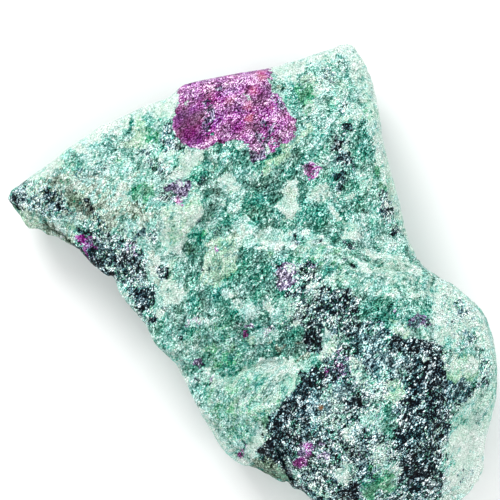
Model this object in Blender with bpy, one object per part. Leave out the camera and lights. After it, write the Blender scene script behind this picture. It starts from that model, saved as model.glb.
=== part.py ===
"""Rough hand specimen of ruby in zoisite: one broken lump of rock, grown as one piece.

The lump lies on its broad, nearly flat back face. Its plan is drawn on a grid of
0.2 mm units, with the columns (u) running towards +X and the rows (v) running
towards -Y. Heights are in millimetres above the flat resting face.

Around the plan the wall has four loops: the resting edge, the widest line, the
shoulder and, inside it, the broad upper face. The upper face is a smooth field
through hand-placed spot heights, broken by creases: the lip of the raised lobe,
the valley in front of the pale band, and the edges of two flaked scars.
"""

import math

import bmesh
import bpy
import numpy as np
from mathutils import Vector, noise

# ---------------------------------------------------------------- dimensions
UNIT = 0.0002            # one plan unit, m
MM = 0.001
CENTRE = (300.0, 272.0)  # plan point that every radial line of the lump runs from
ORIGIN = (253.3, 288.4)  # plan point above the origin: the middle of the lump's box
STATIONS = 264           # radial lines round the lump
VOXEL = 0.00065          # skin resolution before the mesh is thinned, m
FOOT_CUT = 0.0007        # rock cut away at the foot by the flat resting face, m
TRIANGLES = 9000         # faces of the finished solid

# Widest line of the lump, clockwise from the thin left tip.
# u, v, height of the widest line (mm), shoulder inset, foot inset (units), roundness of the shoulder
OUTLINE = [
    (7, 193, 9.5, 6, 44, 0.4),
    (28, 176, 10.5, 9, 34, 0.8),
    (60, 152, 12.0, 11, 30, 1.0),
    (88, 134, 13.0, 12, 26, 1.0),
    (128, 114, 13.5, 13, 30, 1.0),
    (158, 101, 13.0, 13, 24, 1.0),
    (172, 95, 13.0, 13, 30, 1.0),
    (184, 84, 12.5, 14, 34, 1.0),
    (208, 78, 12.0, 14, 30, 1.0),
    (248, 71, 12.5, 14, 26, 1.0),
    (270, 67, 13.0, 14, 30, 1.0),
    (300, 58, 12.5, 13, 26, 1.0),
    (328, 49, 11.0, 12, 34, 1.0),
    (350, 42, 10.0, 9, 44, 0.8),
    (367, 62, 11.5, 11, 32, 1.0),
    (377, 86, 12.5, 12, 26, 1.0),
    (381, 118, 13.5, 12, 30, 1.0),
    (388, 160, 14.0, 12, 24, 1.0),
    (398, 196, 13.0, 12, 30, 1.0),
    (406, 230, 13.0, 11, 26, 1.0),
    (416, 255, 14.0, 9, 22, 1.0),
    (424, 268, 15.0, 9, 20, 1.0),
    (443, 280, 15.5, 13, 28, 1.0),
    (462, 290, 16.0, 16, 36, 1.0),
    (478, 303, 16.0, 19, 42, 1.0),
    (490, 320, 16.0, 21, 38, 1.0),
    (495, 341, 15.5, 22, 44, 1.0),
    (498, 368, 15.0, 22, 38, 1.0),
    (497, 400, 14.0, 21, 46, 1.0),
    (491, 424, 13.0, 20, 36, 1.0),
    (486, 444, 13.0, 20, 42, 1.0),
    (483, 466, 12.0, 20, 34, 1.0),
    (474, 486, 12.0, 19, 40, 1.0),
    (460, 501, 12.5, 18, 34, 1.0),
    (438, 516, 12.0, 18, 44, 0.9),
    (408, 528, 11.5, 17, 34, 0.9),
    (376, 533, 10.5, 16, 38, 0.8),
    (346, 526, 9.0, 16, 26, 0.6),
    (322, 510, 8.0, 16, 24, 0.2),
    (307, 497, 7.0, 17, 16, 0.0),
    (289, 485, 6.5, 18, 18, 0.0),
    (264, 473, 7.0, 15, 14, 0.0),
    (242, 464, 9.0, 9, 20, 0.3),
    (221, 450, 10.0, 8, 16, 0.7),
    (207, 424, 10.5, 8, 24, 0.8),
    (194, 400, 11.0, 8, 18, 0.8),
    (182, 376, 11.0, 8, 26, 0.8),
    (174, 362, 11.0, 8, 20, 0.7),
    (152, 343, 11.0, 7, 26, 0.7),
    (140, 320, 11.5, 7, 18, 0.7),
    (127, 304, 11.5, 7, 22, 0.6),
    (120, 290, 11.5, 7, 14, 0.6),
    (112, 276, 11.0, 8, 18, 0.5),
    (95, 268, 10.5, 9, 14, 0.4),
    (82, 256, 10.0, 10, 18, 0.3),
    (65, 245, 9.0, 12, 14, 0.2),
    (46, 234, 8.0, 15, 20, 0.1),
    (33, 228, 7.5, 17, 18, 0.1),
    (20, 217, 7.5, 14, 28, 0.1),
    (13, 205, 8.5, 9, 34, 0.2),
]

# Spot heights of the broad upper face: u, v, mm
SPOTS = [
    # thin left tip
    (20, 193, 13.0), (45, 178, 15.5), (45, 210, 15.0), (70, 160, 17.5), (75, 190, 18.5), (75, 225, 16.5),
    (100, 145, 19.5), (105, 180, 21.0), (105, 215, 20.0), (105, 250, 17.0),
    # upper left of the upper panel
    (140, 125, 20.5), (145, 160, 23.5), (145, 200, 24.0), (140, 240, 22.0), (135, 275, 18.5),
    (180, 110, 22.5), (180, 150, 25.5), (180, 185, 26.0), (180, 220, 26.6), (160, 262, 22.6),
    # hollow between the two flaked scars
    (206, 232, 24.8), (194, 262, 23.4), (184, 298, 22.4),
    # ruby and the panel under it
    (215, 95, 23.2), (250, 88, 23.8), (215, 130, 26.2), (255, 125, 27.0), (225, 175, 27.2), (225, 210, 27.0),
    (232, 250, 27.4), (215, 285, 25.2),
    # right half of the upper panel
    (290, 75, 23.4), (335, 60, 20.6), (300, 110, 26.0), (345, 95, 23.8), (365, 80, 20.2), (370, 120, 22.2),
    (300, 160, 27.6), (350, 155, 25.8), (380, 165, 22.2), (290, 205, 27.4), (345, 205, 26.4), (390, 205, 22.6),
    (280, 235, 27.4), (330, 235, 27.6), (375, 245, 26.4), (408, 248, 23.8),
    # lip and crown of the lobe
    (275, 256, 29.0), (310, 258, 30.6), (345, 268, 32.0), (385, 280, 32.6), (425, 288, 30.8), (452, 302, 28.6),
    (300, 300, 31.0), (340, 315, 33.6), (390, 325, 35.0), (435, 335, 33.4), (472, 335, 28.2), (480, 375, 28.0),
    (440, 385, 33.6), (395, 375, 35.0), (352, 355, 34.6),
    # shaded slope down to the valley
    (250, 295, 28.6), (262, 325, 27.6), (215, 325, 25.0), (170, 310, 21.6), (165, 338, 20.0), (195, 355, 20.8),
    (235, 352, 23.6), (290, 335, 29.4), (318, 345, 30.6),
    # valley, then the pale band that rises in front of it
    (222, 377, 22.2), (262, 365, 24.8), (308, 360, 29.4),
    (200, 385, 20.4), (240, 398, 25.0), (275, 388, 28.6), (305, 380, 31.4),
    (215, 415, 20.8), (235, 435, 21.6), (262, 425, 25.8), (250, 452, 20.4),
    # front of the lobe
    (325, 405, 32.6), (365, 410, 34.0), (300, 435, 29.4), (275, 455, 24.0), (340, 450, 31.4), (390, 445, 32.8),
    (432, 435, 31.4), (462, 425, 27.6), (470, 460, 23.4), (435, 480, 27.2), (385, 490, 29.0), (335, 490, 26.6),
    (303, 475, 24.0), (345, 512, 22.6), (400, 513, 23.6), (442, 500, 22.0),
]

# Creases of the upper face: points, height (mm), reach to the left and to the right of the line (mm)
CREASES = [
    # lip of the raised lobe, steep on the side of the upper panel
    ([(236, 250), (262, 244), (300, 245), (324, 243), (347, 251), (372, 262), (400, 266), (430, 276)], 1.5, 0.5, 5.0),
    # valley in front of the pale band
    ([(206, 384), (232, 375), (250, 366), (268, 360), (300, 358), (322, 352)], -1.5, 4.5, 1.3),
    # right edge of the left scar
    ([(196, 195), (204, 200), (205, 213), (198, 228), (188, 243), (180, 252)], 0.9, 0.4, 3.5),
    # left edge of the right scar
    ([(212, 236), (206, 246), (204, 260), (198, 274), (192, 292)], 0.8, 3.0, 0.5),
    # short spur on the lobe
    ([(343, 338), (353, 352), (362, 368), (378, 388)], 1.0, 0.6, 2.2),
    # brow above the dark underside notch
    ([(252, 452), (268, 458), (283, 470), (298, 484), (318, 500)], 0.9, 2.4, 0.8),
    # low ridge from the left tip
    ([(60, 182), (86, 205), (98, 228), (118, 258)], 0.7, 2.0, 2.6),
]


def smoothstep(a, b, x):
    t = np.clip((x - a) / (b - a), 0.0, 1.0)
    return t * t * (3.0 - 2.0 * t)


# ---------------------------------------------------------------- upper face
def thin_plate(spots):
    """A smooth field through the spot heights: a thin plate bent over the points."""
    p = np.array([s[:2] for s in spots], float) / 100.0
    z = np.array([s[2] for s in spots], float)
    n = len(p)
    d2 = ((p[:, None] - p[None]) ** 2).sum(-1)
    k = np.where(d2 > 0, 0.5 * d2 * np.log(np.maximum(d2, 1e-12)), 0.0)
    a = np.zeros((n + 3, n + 3))
    a[:n, :n] = k + 0.004 * np.eye(n)
    a[:n, n], a[:n, n + 1:] = 1.0, p
    a[n, :n], a[n + 1:, :n] = 1.0, p.T
    w = np.linalg.solve(a, np.concatenate([z, np.zeros(3)]))

    def height(uv):
        q = uv / 100.0
        r2 = ((q[:, None] - p[None]) ** 2).sum(-1)
        kk = np.where(r2 > 0, 0.5 * r2 * np.log(np.maximum(r2, 1e-12)), 0.0)
        return kk @ w[:n] + w[n] + q @ w[n + 1:]

    return height


def to_line(uv, line):
    """Signed distance to a polyline in plan units, and how far along it the nearest point lies (0 to 1)."""
    pts = np.array(line, float)
    best = np.full(len(uv), 1e9)
    side = np.zeros(len(uv))
    along = np.zeros(len(uv))
    lengths = np.hypot(*np.diff(pts, axis=0).T)
    start = np.concatenate([[0.0], np.cumsum(lengths)])
    for i in range(len(pts) - 1):
        a, b = pts[i], pts[i + 1]
        ab = b - a
        t = np.clip(((uv - a) @ ab) / (ab @ ab), 0.0, 1.0)
        near = a + t[:, None] * ab
        d = np.hypot(*(uv - near).T)
        cross = ab[0] * (uv[:, 1] - a[1]) - ab[1] * (uv[:, 0] - a[0])
        take = d < best
        best = np.where(take, d, best)
        side = np.where(take, np.sign(cross), side)
        along = np.where(take, (start[i] + t * lengths[i]) / start[-1], along)
    return best, side, along


PLATE = thin_plate(SPOTS)


def upper_face(uv):
    """Height of the broad upper face over a plan point, mm."""
    z = PLATE(uv)
    for line, height, left, right in CREASES:
        d, side, along = to_line(uv, line)
        reach = np.where(side > 0, right, left) * MM / UNIT
        ends = smoothstep(0.0, 0.18, along) * smoothstep(0.0, 0.18, 1.0 - along)
        z = z + height * np.exp(-d / reach) * (0.25 + 0.75 * ends) * (ends > 0)
    return z


# ---------------------------------------------------------------- outline
def radial_outline():
    """The outline's values where each radial line meets it."""
    table = np.array(OUTLINE, float)
    rel = table[:, :2] - np.array(CENTRE)
    angle = np.unwrap(np.arctan2(rel[:, 1], rel[:, 0]))
    closed = np.vstack([table, table[:1]])
    angle = np.concatenate([angle, [angle[0] + 2.0 * math.pi]])
    # stations are spread evenly along the outline, so that corners stay where they are
    steps = np.hypot(*np.diff(closed[:, :2], axis=0).T)
    along = np.concatenate([[0.0], np.cumsum(steps)])
    s = np.linspace(0.0, along[-1], STATIONS, endpoint=False)
    return np.stack([np.interp(s, along, closed[:, k]) for k in range(closed.shape[1])], axis=1)


def wandering(widest, roundness):
    """The widest line climbs and drops in the wall, least where the wall shows a sharp side face."""
    a = np.linspace(0.0, 2.0 * math.pi, STATIONS, endpoint=False)
    climb = 1.3 * np.sin(7.0 * a + 0.4) + 1.0 * np.sin(11.0 * a + 1.9) + 0.8 * np.sin(17.0 * a + 3.3)
    return widest + climb * (0.15 + 0.85 * roundness)


def loops():
    """All rings of the lump from the resting face's middle, up the wall, to the crown's middle."""
    o = radial_outline()
    c = np.array(CENTRE)
    plan, widest, inset, foot, roundness = o[:, :2], wandering(o[:, 2], o[:, 5]), o[:, 3], o[:, 4], o[:, 5]
    span = np.hypot(*(plan - c).T)
    towards = (c - plan) / span[:, None]
    # the wall's foot wanders in and out in long facets
    a = np.linspace(0.0, 2.0 * math.pi, STATIONS, endpoint=False)
    foot = foot + 5.0 * np.sin(5.0 * a + 0.7) + 4.0 * np.sin(9.0 * a + 2.1)
    foot_plan = plan + towards * foot[:, None]
    rings = []
    for t in (0.12, 0.3, 0.5, 0.7, 0.86, 0.95):
        uv = c + (foot_plan - c) * t
        rings.append((uv, np.zeros(STATIONS)))
    for t in np.linspace(0.0, 1.0, 9)[:-1]:
        # from the foot out to the widest line, a little bellied
        out = t ** 0.85
        uv = foot_plan + (plan - foot_plan) * out
        rings.append((uv, widest * t))
    shoulder = plan + towards * inset[:, None]
    top = upper_face(shoulder)
    for t in np.linspace(0.0, 1.0, 9)[:-1]:
        bent = roundness * (1.0 - math.cos(t * math.pi / 2.0)) + (1.0 - roundness) * t
        rise = roundness * math.sin(t * math.pi / 2.0) + (1.0 - roundness) * t
        uv = plan + (shoulder - plan) * bent[:, None]
        rings.append((uv, widest + (top - widest) * rise))
    for t in np.linspace(1.0, 0.0, 62)[:-1]:
        uv = c + (shoulder - c) * t
        rings.append((uv, upper_face(uv)))
    return rings


def to_frame(uv, z):
    x = (uv[:, 0] - ORIGIN[0]) * UNIT
    y = (ORIGIN[1] - uv[:, 1]) * UNIT
    return np.stack([x, y, z * MM], axis=1)


def first_form():
    """The lump as rings of quads, closed by a fan at the foot and one at the crown."""
    rings = [to_frame(uv, z) for uv, z in loops()]
    bm = bmesh.new()
    rows = [[bm.verts.new(p) for p in ring] for ring in rings]
    # rings run clockwise in plan as seen from above
    for low, high in zip(rows, rows[1:]):
        for i in range(STATIONS):
            j = (i + 1) % STATIONS
            bm.faces.new((low[i], high[i], high[j], low[j]))
    c = np.array([CENTRE])
    foot = bm.verts.new(to_frame(c, np.zeros(1))[0])
    crown = bm.verts.new(to_frame(c, upper_face(c))[0])
    for i in range(STATIONS):
        j = (i + 1) % STATIONS
        bm.faces.new((foot, rows[0][i], rows[0][j]))
        bm.faces.new((crown, rows[-1][j], rows[-1][i]))
    bmesh.ops.recalc_face_normals(bm, faces=bm.faces)
    mesh = bpy.data.meshes.new("first_form")
    bm.to_mesh(mesh)
    bm.free()
    return mesh


# ---------------------------------------------------------------- broken surface
def chips(p, size, slope, blend, seed):
    """Offset (m) of a surface broken into flat chips: each cell of the rock has its own tilt."""
    shift = Vector((seed * 3.17, seed * 1.31, seed * 2.23))
    scaled = p / size + shift
    dist, cells = noise.voronoi(scaled)
    out = []
    for k in (0, 1):
        tilt = noise.cell_vector(cells[k] * 7.3) * 2.0 - Vector((1.0, 1.0, 1.0))
        out.append((scaled - cells[k]).dot(tilt) * slope * size)
    w = 0.5 + 0.5 * min(1.0, (dist[1] - dist[0]) / blend)
    return out[0] * w + out[1] * (1.0 - w)


def weather(mesh):
    """Breaks the smooth form: flat chips on the wall and underside, smaller ones on the upper face."""
    n = len(mesh.vertices)
    co = np.empty(n * 3)
    mesh.vertices.foreach_get("co", co)
    co = co.reshape(-1, 3)
    no = np.empty(n * 3)
    mesh.vertices.foreach_get("normal", no)
    no = no.reshape(-1, 3)
    uv = np.stack([co[:, 0] / UNIT + ORIGIN[0], ORIGIN[1] - co[:, 1] / UNIT], axis=1)
    o = radial_outline()
    o = np.vstack([o, o[:1]])
    edge, _, along = to_line(uv, o[:, :2])
    steps = np.hypot(*np.diff(o[:, :2], axis=0).T)
    marks = np.concatenate([[0.0], np.cumsum(steps)]) / steps.sum()
    line = wandering(o[:-1, 2], o[:-1, 5])
    widest = np.interp(along, marks, np.append(line, line[0])) * MM
    # chips grow weak at the widest line, which nearly keeps its drawn plan
    off_line = np.hypot(edge * UNIT, co[:, 2] - widest)
    fade = 0.12 + 0.88 * smoothstep(0.0004, 0.0040, off_line)
    upward = smoothstep(0.25, 0.75, no[:, 2])
    downward = smoothstep(0.6, 0.95, -no[:, 2])
    # and no chip stands out past that line
    room = edge * UNIT * 0.75 + 0.00015
    moved = co.copy()
    for i in range(n):
        p = Vector(co[i])
        big = chips(p, 0.0150, 0.34, 0.06, 1)
        mid = chips(p, 0.0070, 0.28, 0.08, 2)
        fine = chips(p, 0.0032, 0.20, 0.12, 3)
        wave = noise.fractal(p / 0.016, 0.9, 2.1, 4) * 0.0008
        side = min(big + mid * 0.8 + fine * 0.6 + wave - 0.0004, room[i]) * (1.0 - 0.6 * downward[i])
        top = big * 0.07 + mid * 0.36 + fine * 0.55 + wave * 0.5
        d = side * (1.0 - upward[i]) * fade[i] + top * upward[i] * (0.35 + 0.65 * fade[i])
        moved[i] = co[i] + no[i] * d
    # the lump rests on one flat parting face
    moved[:, 2] = np.maximum(moved[:, 2], FOOT_CUT) - FOOT_CUT
    mesh.vertices.foreach_set("co", moved.ravel())
    mesh.update()


def evaluated_copy(obj):
    graph = bpy.context.evaluated_depsgraph_get()
    return bpy.data.meshes.new_from_object(obj.evaluated_get(graph), depsgraph=graph)


def resurfaced(mesh, voxel, smooth):
    """The same form with an even closed skin; folds that a moved surface made are healed."""
    body = bpy.data.objects.new("body", mesh)
    bpy.context.scene.collection.objects.link(body)
    skin = body.modifiers.new("skin", "REMESH")
    skin.mode = "VOXEL"
    skin.voxel_size = voxel
    skin.adaptivity = 0.0
    if smooth:
        soften = body.modifiers.new("soften", "SMOOTH")
        soften.factor = 0.5
        soften.iterations = smooth
    bpy.context.view_layer.update()
    out = evaluated_copy(body)
    bpy.data.objects.remove(body, do_unlink=True)
    return out


def thinned(mesh, triangles):
    body = bpy.data.objects.new("body", mesh)
    bpy.context.scene.collection.objects.link(body)
    thin = body.modifiers.new("thin", "DECIMATE")
    thin.ratio = triangles / (2.0 * len(mesh.polygons))
    thin.use_collapse_triangulate = True
    bpy.context.view_layer.update()
    out = evaluated_copy(body)
    bpy.data.objects.remove(body, do_unlink=True)
    return out


# ---------------------------------------------------------------- the lump
def main():
    for old in list(bpy.data.objects):
        bpy.data.objects.remove(old, do_unlink=True)

    mesh = resurfaced(first_form(), VOXEL, 3)
    weather(mesh)
    mesh = resurfaced(mesh, VOXEL * 0.9, 0)
    mesh = thinned(mesh, TRIANGLES)

    # the resting face stays exactly flat
    co = np.empty(len(mesh.vertices) * 3)
    mesh.vertices.foreach_get("co", co)
    co = co.reshape(-1, 3)
    co[:, 2] -= co[:, 2].min()
    co[:, 2] = np.where(co[:, 2] < 0.00025, 0.0, co[:, 2])
    # and the middle of the box stands over the origin
    co[:, :2] -= (co[:, :2].min(axis=0) + co[:, :2].max(axis=0)) / 2.0
    mesh.vertices.foreach_set("co", co.ravel())
    mesh.update()

    rock = bpy.data.materials.new("green_zoisite_rock")
    rock.use_nodes = True
    surface = rock.node_tree.nodes["Principled BSDF"]
    surface.inputs["Base Color"].default_value = (0.22, 0.47, 0.36, 1.0)
    surface.inputs["Roughness"].default_value = 0.62
    surface.inputs["Metallic"].default_value = 0.0

    stone = bpy.data.objects.new("stone", mesh)
    bpy.context.scene.collection.objects.link(stone)
    mesh.name = "stone"
    mesh.materials.clear()
    mesh.materials.append(rock)
    mesh.shade_smooth()
    mesh.set_sharp_from_angle(angle=math.radians(32.0))


main()
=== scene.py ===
"""Looks of the rough ruby in zoisite lump: its granular broken surface, its minerals, light and camera.

The lump's upper face is described on the plan grid of the CAD: one unit is 0.2 mm, u runs towards +X and v towards -Y.
"""
import math

import bmesh
import bpy
import numpy as np
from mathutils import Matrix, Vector, noise


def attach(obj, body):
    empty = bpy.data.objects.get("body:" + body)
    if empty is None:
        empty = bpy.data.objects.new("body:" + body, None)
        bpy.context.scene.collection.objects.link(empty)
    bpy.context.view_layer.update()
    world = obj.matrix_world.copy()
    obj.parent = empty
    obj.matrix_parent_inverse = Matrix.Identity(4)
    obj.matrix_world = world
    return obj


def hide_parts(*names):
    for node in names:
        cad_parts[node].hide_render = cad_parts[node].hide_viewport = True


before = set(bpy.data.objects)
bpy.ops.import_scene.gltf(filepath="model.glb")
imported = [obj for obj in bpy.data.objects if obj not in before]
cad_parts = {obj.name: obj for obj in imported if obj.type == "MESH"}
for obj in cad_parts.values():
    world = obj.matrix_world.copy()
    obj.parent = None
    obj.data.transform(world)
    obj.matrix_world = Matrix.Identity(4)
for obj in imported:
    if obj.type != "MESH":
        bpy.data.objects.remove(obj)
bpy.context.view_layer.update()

# ---------------------------------------------------------------- dimensions
UNIT = 0.0002                 # one plan unit, m
ORIGIN = (254.508, 287.739)   # plan point over the origin
LOOK_AT = (250.0, 250.0)      # plan point under the camera
EYE = 1.0                     # height of the camera over the floor, m
TRUE_AT = 0.012               # height at which one plan unit measures one pixel, m
SKIN = 0.00036                # resolution of the modelled surface, m
TRIANGLES = 192000            # faces of the finished surface


def smoothstep(a, b, x):
    t = np.clip((x - a) / (b - a), 0.0, 1.0)
    return t * t * (3.0 - 2.0 * t)


def plan_of(co):
    """Plan point under which each point of the surface is seen from the camera."""
    cx = (LOOK_AT[0] - ORIGIN[0]) * UNIT
    cy = (ORIGIN[1] - LOOK_AT[1]) * UNIT
    k = (EYE - TRUE_AT) / (EYE - co[:, 2])
    u = LOOK_AT[0] + (co[:, 0] - cx) * k / UNIT
    v = LOOK_AT[1] - (co[:, 1] - cy) * k / UNIT
    return np.stack([u, v], axis=1)


# ---------------------------------------------------------------- noise
def lattice(ix, iy, iz, seed):
    """A repeatable random value from 0 to 1 for each whole-number point."""
    h = (ix.astype(np.int64) * 374761393 + iy.astype(np.int64) * 668265263
         + iz.astype(np.int64) * 2147483647 + seed * 1274126177) & 0xFFFFFFFF
    h = ((h ^ (h >> 13)) * 1274126177) & 0xFFFFFFFF
    h = ((h ^ (h >> 16)) * 2246822519) & 0xFFFFFFFF
    return ((h ^ (h >> 15)) & 0xFFFFFF) / float(0xFFFFFF)


def value_noise(p, size, seed):
    """Smooth noise from -1 to 1 with features of the given size."""
    q = p / size + 137.0
    i = np.floor(q)
    f = q - i
    f = f * f * f * (f * (f * 6.0 - 15.0) + 10.0)
    out = np.zeros(len(p))
    for dx in (0, 1):
        for dy in (0, 1):
            for dz in (0, 1):
                w = ((f[:, 0] if dx else 1 - f[:, 0]) * (f[:, 1] if dy else 1 - f[:, 1])
                     * (f[:, 2] if dz else 1 - f[:, 2]))
                out += w * lattice(i[:, 0] + dx, i[:, 1] + dy, i[:, 2] + dz, seed)
    return out * 2.0 - 1.0


def fractal_noise(p, size, octaves, seed, fall=0.5):
    out = np.zeros(len(p))
    total = 0.0
    gain = 1.0
    for k in range(octaves):
        out += gain * value_noise(p, size / (2.03 ** k), seed + 17 * k)
        total += gain
        gain *= fall
    return out / total


def facets(p, size, seed, tilt=0.9):
    """Height of about -0.3 to 1.2 of a surface broken into leaning facets."""
    q = p / size + 211.0
    base = np.floor(q)
    best = np.full(len(p), 9.0)
    for dx in (-1, 0, 1):
        for dy in (-1, 0, 1):
            for dz in (-1, 0, 1):
                c = base + (dx, dy, dz)
                at = np.stack([lattice(c[:, 0], c[:, 1], c[:, 2], seed + k) for k in (1, 2, 3)], axis=1)
                lean = np.stack([lattice(c[:, 0], c[:, 1], c[:, 2], seed + k) for k in (4, 5, 6)], axis=1) * 2 - 1
                lift = lattice(c[:, 0], c[:, 1], c[:, 2], seed + 7) - 0.5
                rel = q - (c + at)
                h = (rel ** 2).sum(1) + tilt * (rel * lean).sum(1) + 0.35 * lift
                best = np.minimum(best, h)
    return (best - 0.18) * 1.6


# ---------------------------------------------------------------- shapes drawn on the plan
def away_from_line(uv, line, closed=False):
    """Distance to a line, its side (+1 or -1) and how far along it the nearest point lies."""
    pts = np.array(line, float)
    if closed:
        pts = np.vstack([pts, pts[:1]])
    best = np.full(len(uv), 1e9)
    side = np.ones(len(uv))
    along = np.zeros(len(uv))
    lengths = np.hypot(*np.diff(pts, axis=0).T)
    start = np.concatenate([[0.0], np.cumsum(lengths)])
    for i in range(len(pts) - 1):
        a, ab = pts[i], pts[i + 1] - pts[i]
        t = np.clip(((uv - a) @ ab) / max(ab @ ab, 1e-9), 0.0, 1.0)
        rel = uv - (a + t[:, None] * ab)
        d = np.hypot(rel[:, 0], rel[:, 1])
        cross = ab[0] * (uv[:, 1] - a[1]) - ab[1] * (uv[:, 0] - a[0])
        take = d < best
        best = np.where(take, d, best)
        side = np.where(take, np.where(cross >= 0, 1.0, -1.0), side)
        along = np.where(take, (start[i] + t * lengths[i]) / start[-1], along)
    return best, side, along


def inside(uv, ring):
    pts = np.array(ring, float)
    hit = np.zeros(len(uv), bool)
    j = len(pts) - 1
    for i in range(len(pts)):
        (xi, yi), (xj, yj) = pts[i], pts[j]
        if yi != yj:
            cut = ((yi > uv[:, 1]) != (yj > uv[:, 1])) & (uv[:, 0] < (xj - xi) * (uv[:, 1] - yi) / (yj - yi) + xi)
            hit ^= cut
        j = i
    return hit


def reach(uv, shape):
    """Signed distance in plan units to a drawn shape, negative inside it."""
    kind, data = shape[0], shape[1]
    if kind == "spot":       # u, v, half length, half width, turn in degrees
        u, v, ru, rv, turn = (tuple(data) + (data[2], 0.0))[:5] if len(data) == 3 else (tuple(data) + (0.0,))[:5]
        a = math.radians(turn)
        x = (uv[:, 0] - u) * math.cos(a) + (uv[:, 1] - v) * math.sin(a)
        y = -(uv[:, 0] - u) * math.sin(a) + (uv[:, 1] - v) * math.cos(a)
        q = np.sqrt((x / ru) ** 2 + (y / rv) ** 2)
        return (q - 1.0) * min(ru, rv)
    if kind == "area":       # ring of points
        d, _, _ = away_from_line(uv, data, closed=True)
        return np.where(inside(uv, data), -d, d)
    if kind == "vein":       # half width, then points of a line
        d, _, _ = away_from_line(uv, data[1:])
        return d - data[0]
    raise ValueError(kind)


# ---------------------------------------------------------------- the lump's rim
RIM = [
    (9, 195), (14, 189), (22, 183), (31, 176), (43, 168), (55, 159), (64, 151), (76, 143), (88, 135), (107, 124),
    (128, 114), (145, 106), (158, 101.5), (165, 99), (171, 96), (177, 90), (183, 85), (196, 81.5), (208, 79), (228, 75),
    (248, 71.5), (262, 69.5), (270, 68), (285, 64), (300, 59.5), (314, 54.5), (328, 50), (340, 46), (349, 42.5),
    (352, 45.5), (357, 52), (364, 62), (369, 72), (373, 84), (376, 97), (379, 112), (381, 124), (382, 136), (385, 147),
    (388, 160), (391, 172), (395, 186), (399, 200), (402, 214), (405, 228), (410, 243), (415, 253), (420, 262),
    (424, 267), (434, 273.5), (443, 280), (453, 286), (462, 292), (472, 300), (480, 308), (486, 317), (490, 328),
    (494, 341), (496, 355), (497, 368), (497, 385), (496, 400), (493, 412), (490, 424), (487, 435), (485, 445),
    (484, 456), (483, 466), (479, 476), (474, 486), (468, 494), (460, 501), (438, 516), (408, 528), (376, 533),
    (346, 526), (322, 508), (310, 498), (306, 494), (300, 489), (294, 488), (288, 481), (284, 482.5), (278, 479),
    (271, 475.5), (264, 472), (257, 468.5), (250, 466), (242, 465), (232, 458), (224, 451.5), (219, 444), (213, 434),
    (207, 424), (200, 411), (194, 400), (188, 387), (182, 375), (178, 367), (174, 362), (163, 352), (156, 345),
    (152, 339), (149, 331), (146, 325), (140, 318), (134, 311), (128, 304), (124, 299), (119, 290), (116, 282),
    (113, 275.5), (109, 276), (103, 273), (97, 268), (90, 262.5), (85, 256), (80, 250.5), (72, 245), (64, 242),
    (62, 238.5), (53, 236), (48, 235), (44, 232), (38, 228), (34, 228.5), (29, 226.5), (23, 219), (18, 211), (13, 204),
    (10, 199.5),
]

# Ledges: the ground falls by some mm just past the line on the right-hand side of its run as seen from above, and
# climbs back within some plan units. Drop, run-out, points.
LEDGES = [
    (0.75, 16, [(345, 249), (337, 246), (325, 245), (304, 247), (294, 245), (270, 242), (250, 243)]),
    (0.50, 14, [(418, 268), (396, 262), (378, 257), (362, 250)]),
    (0.85, 13, [(216, 374), (232, 372), (242, 367), (247, 365), (257, 364), (265, 360), (279, 360), (291, 357)]),
    (0.55, 10, [(349, 356), (358, 362), (364, 370), (371, 379)]),
    (1.30, 15, [(293, 481), (286, 473), (280, 462), (272, 450)]),
    (0.90, 8, [(76, 243), (62, 236), (48, 227), (36, 217), (24, 209.5), (10, 198)]),
    (0.35, 9, [(262, 440), (272, 428), (276, 412), (290, 402), (302, 392), (312, 376)]),
    (0.30, 8, [(303, 206), (298, 199), (299, 185), (293, 178)]),
    (0.35, 9, [(352, 44), (364, 70), (370, 96)]),
    (0.30, 8, [(330, 262), (340, 268), (352, 276), (366, 283)]),
    (0.30, 8, [(318, 326), (328, 334), (338, 346), (334, 356)]),
]
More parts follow.
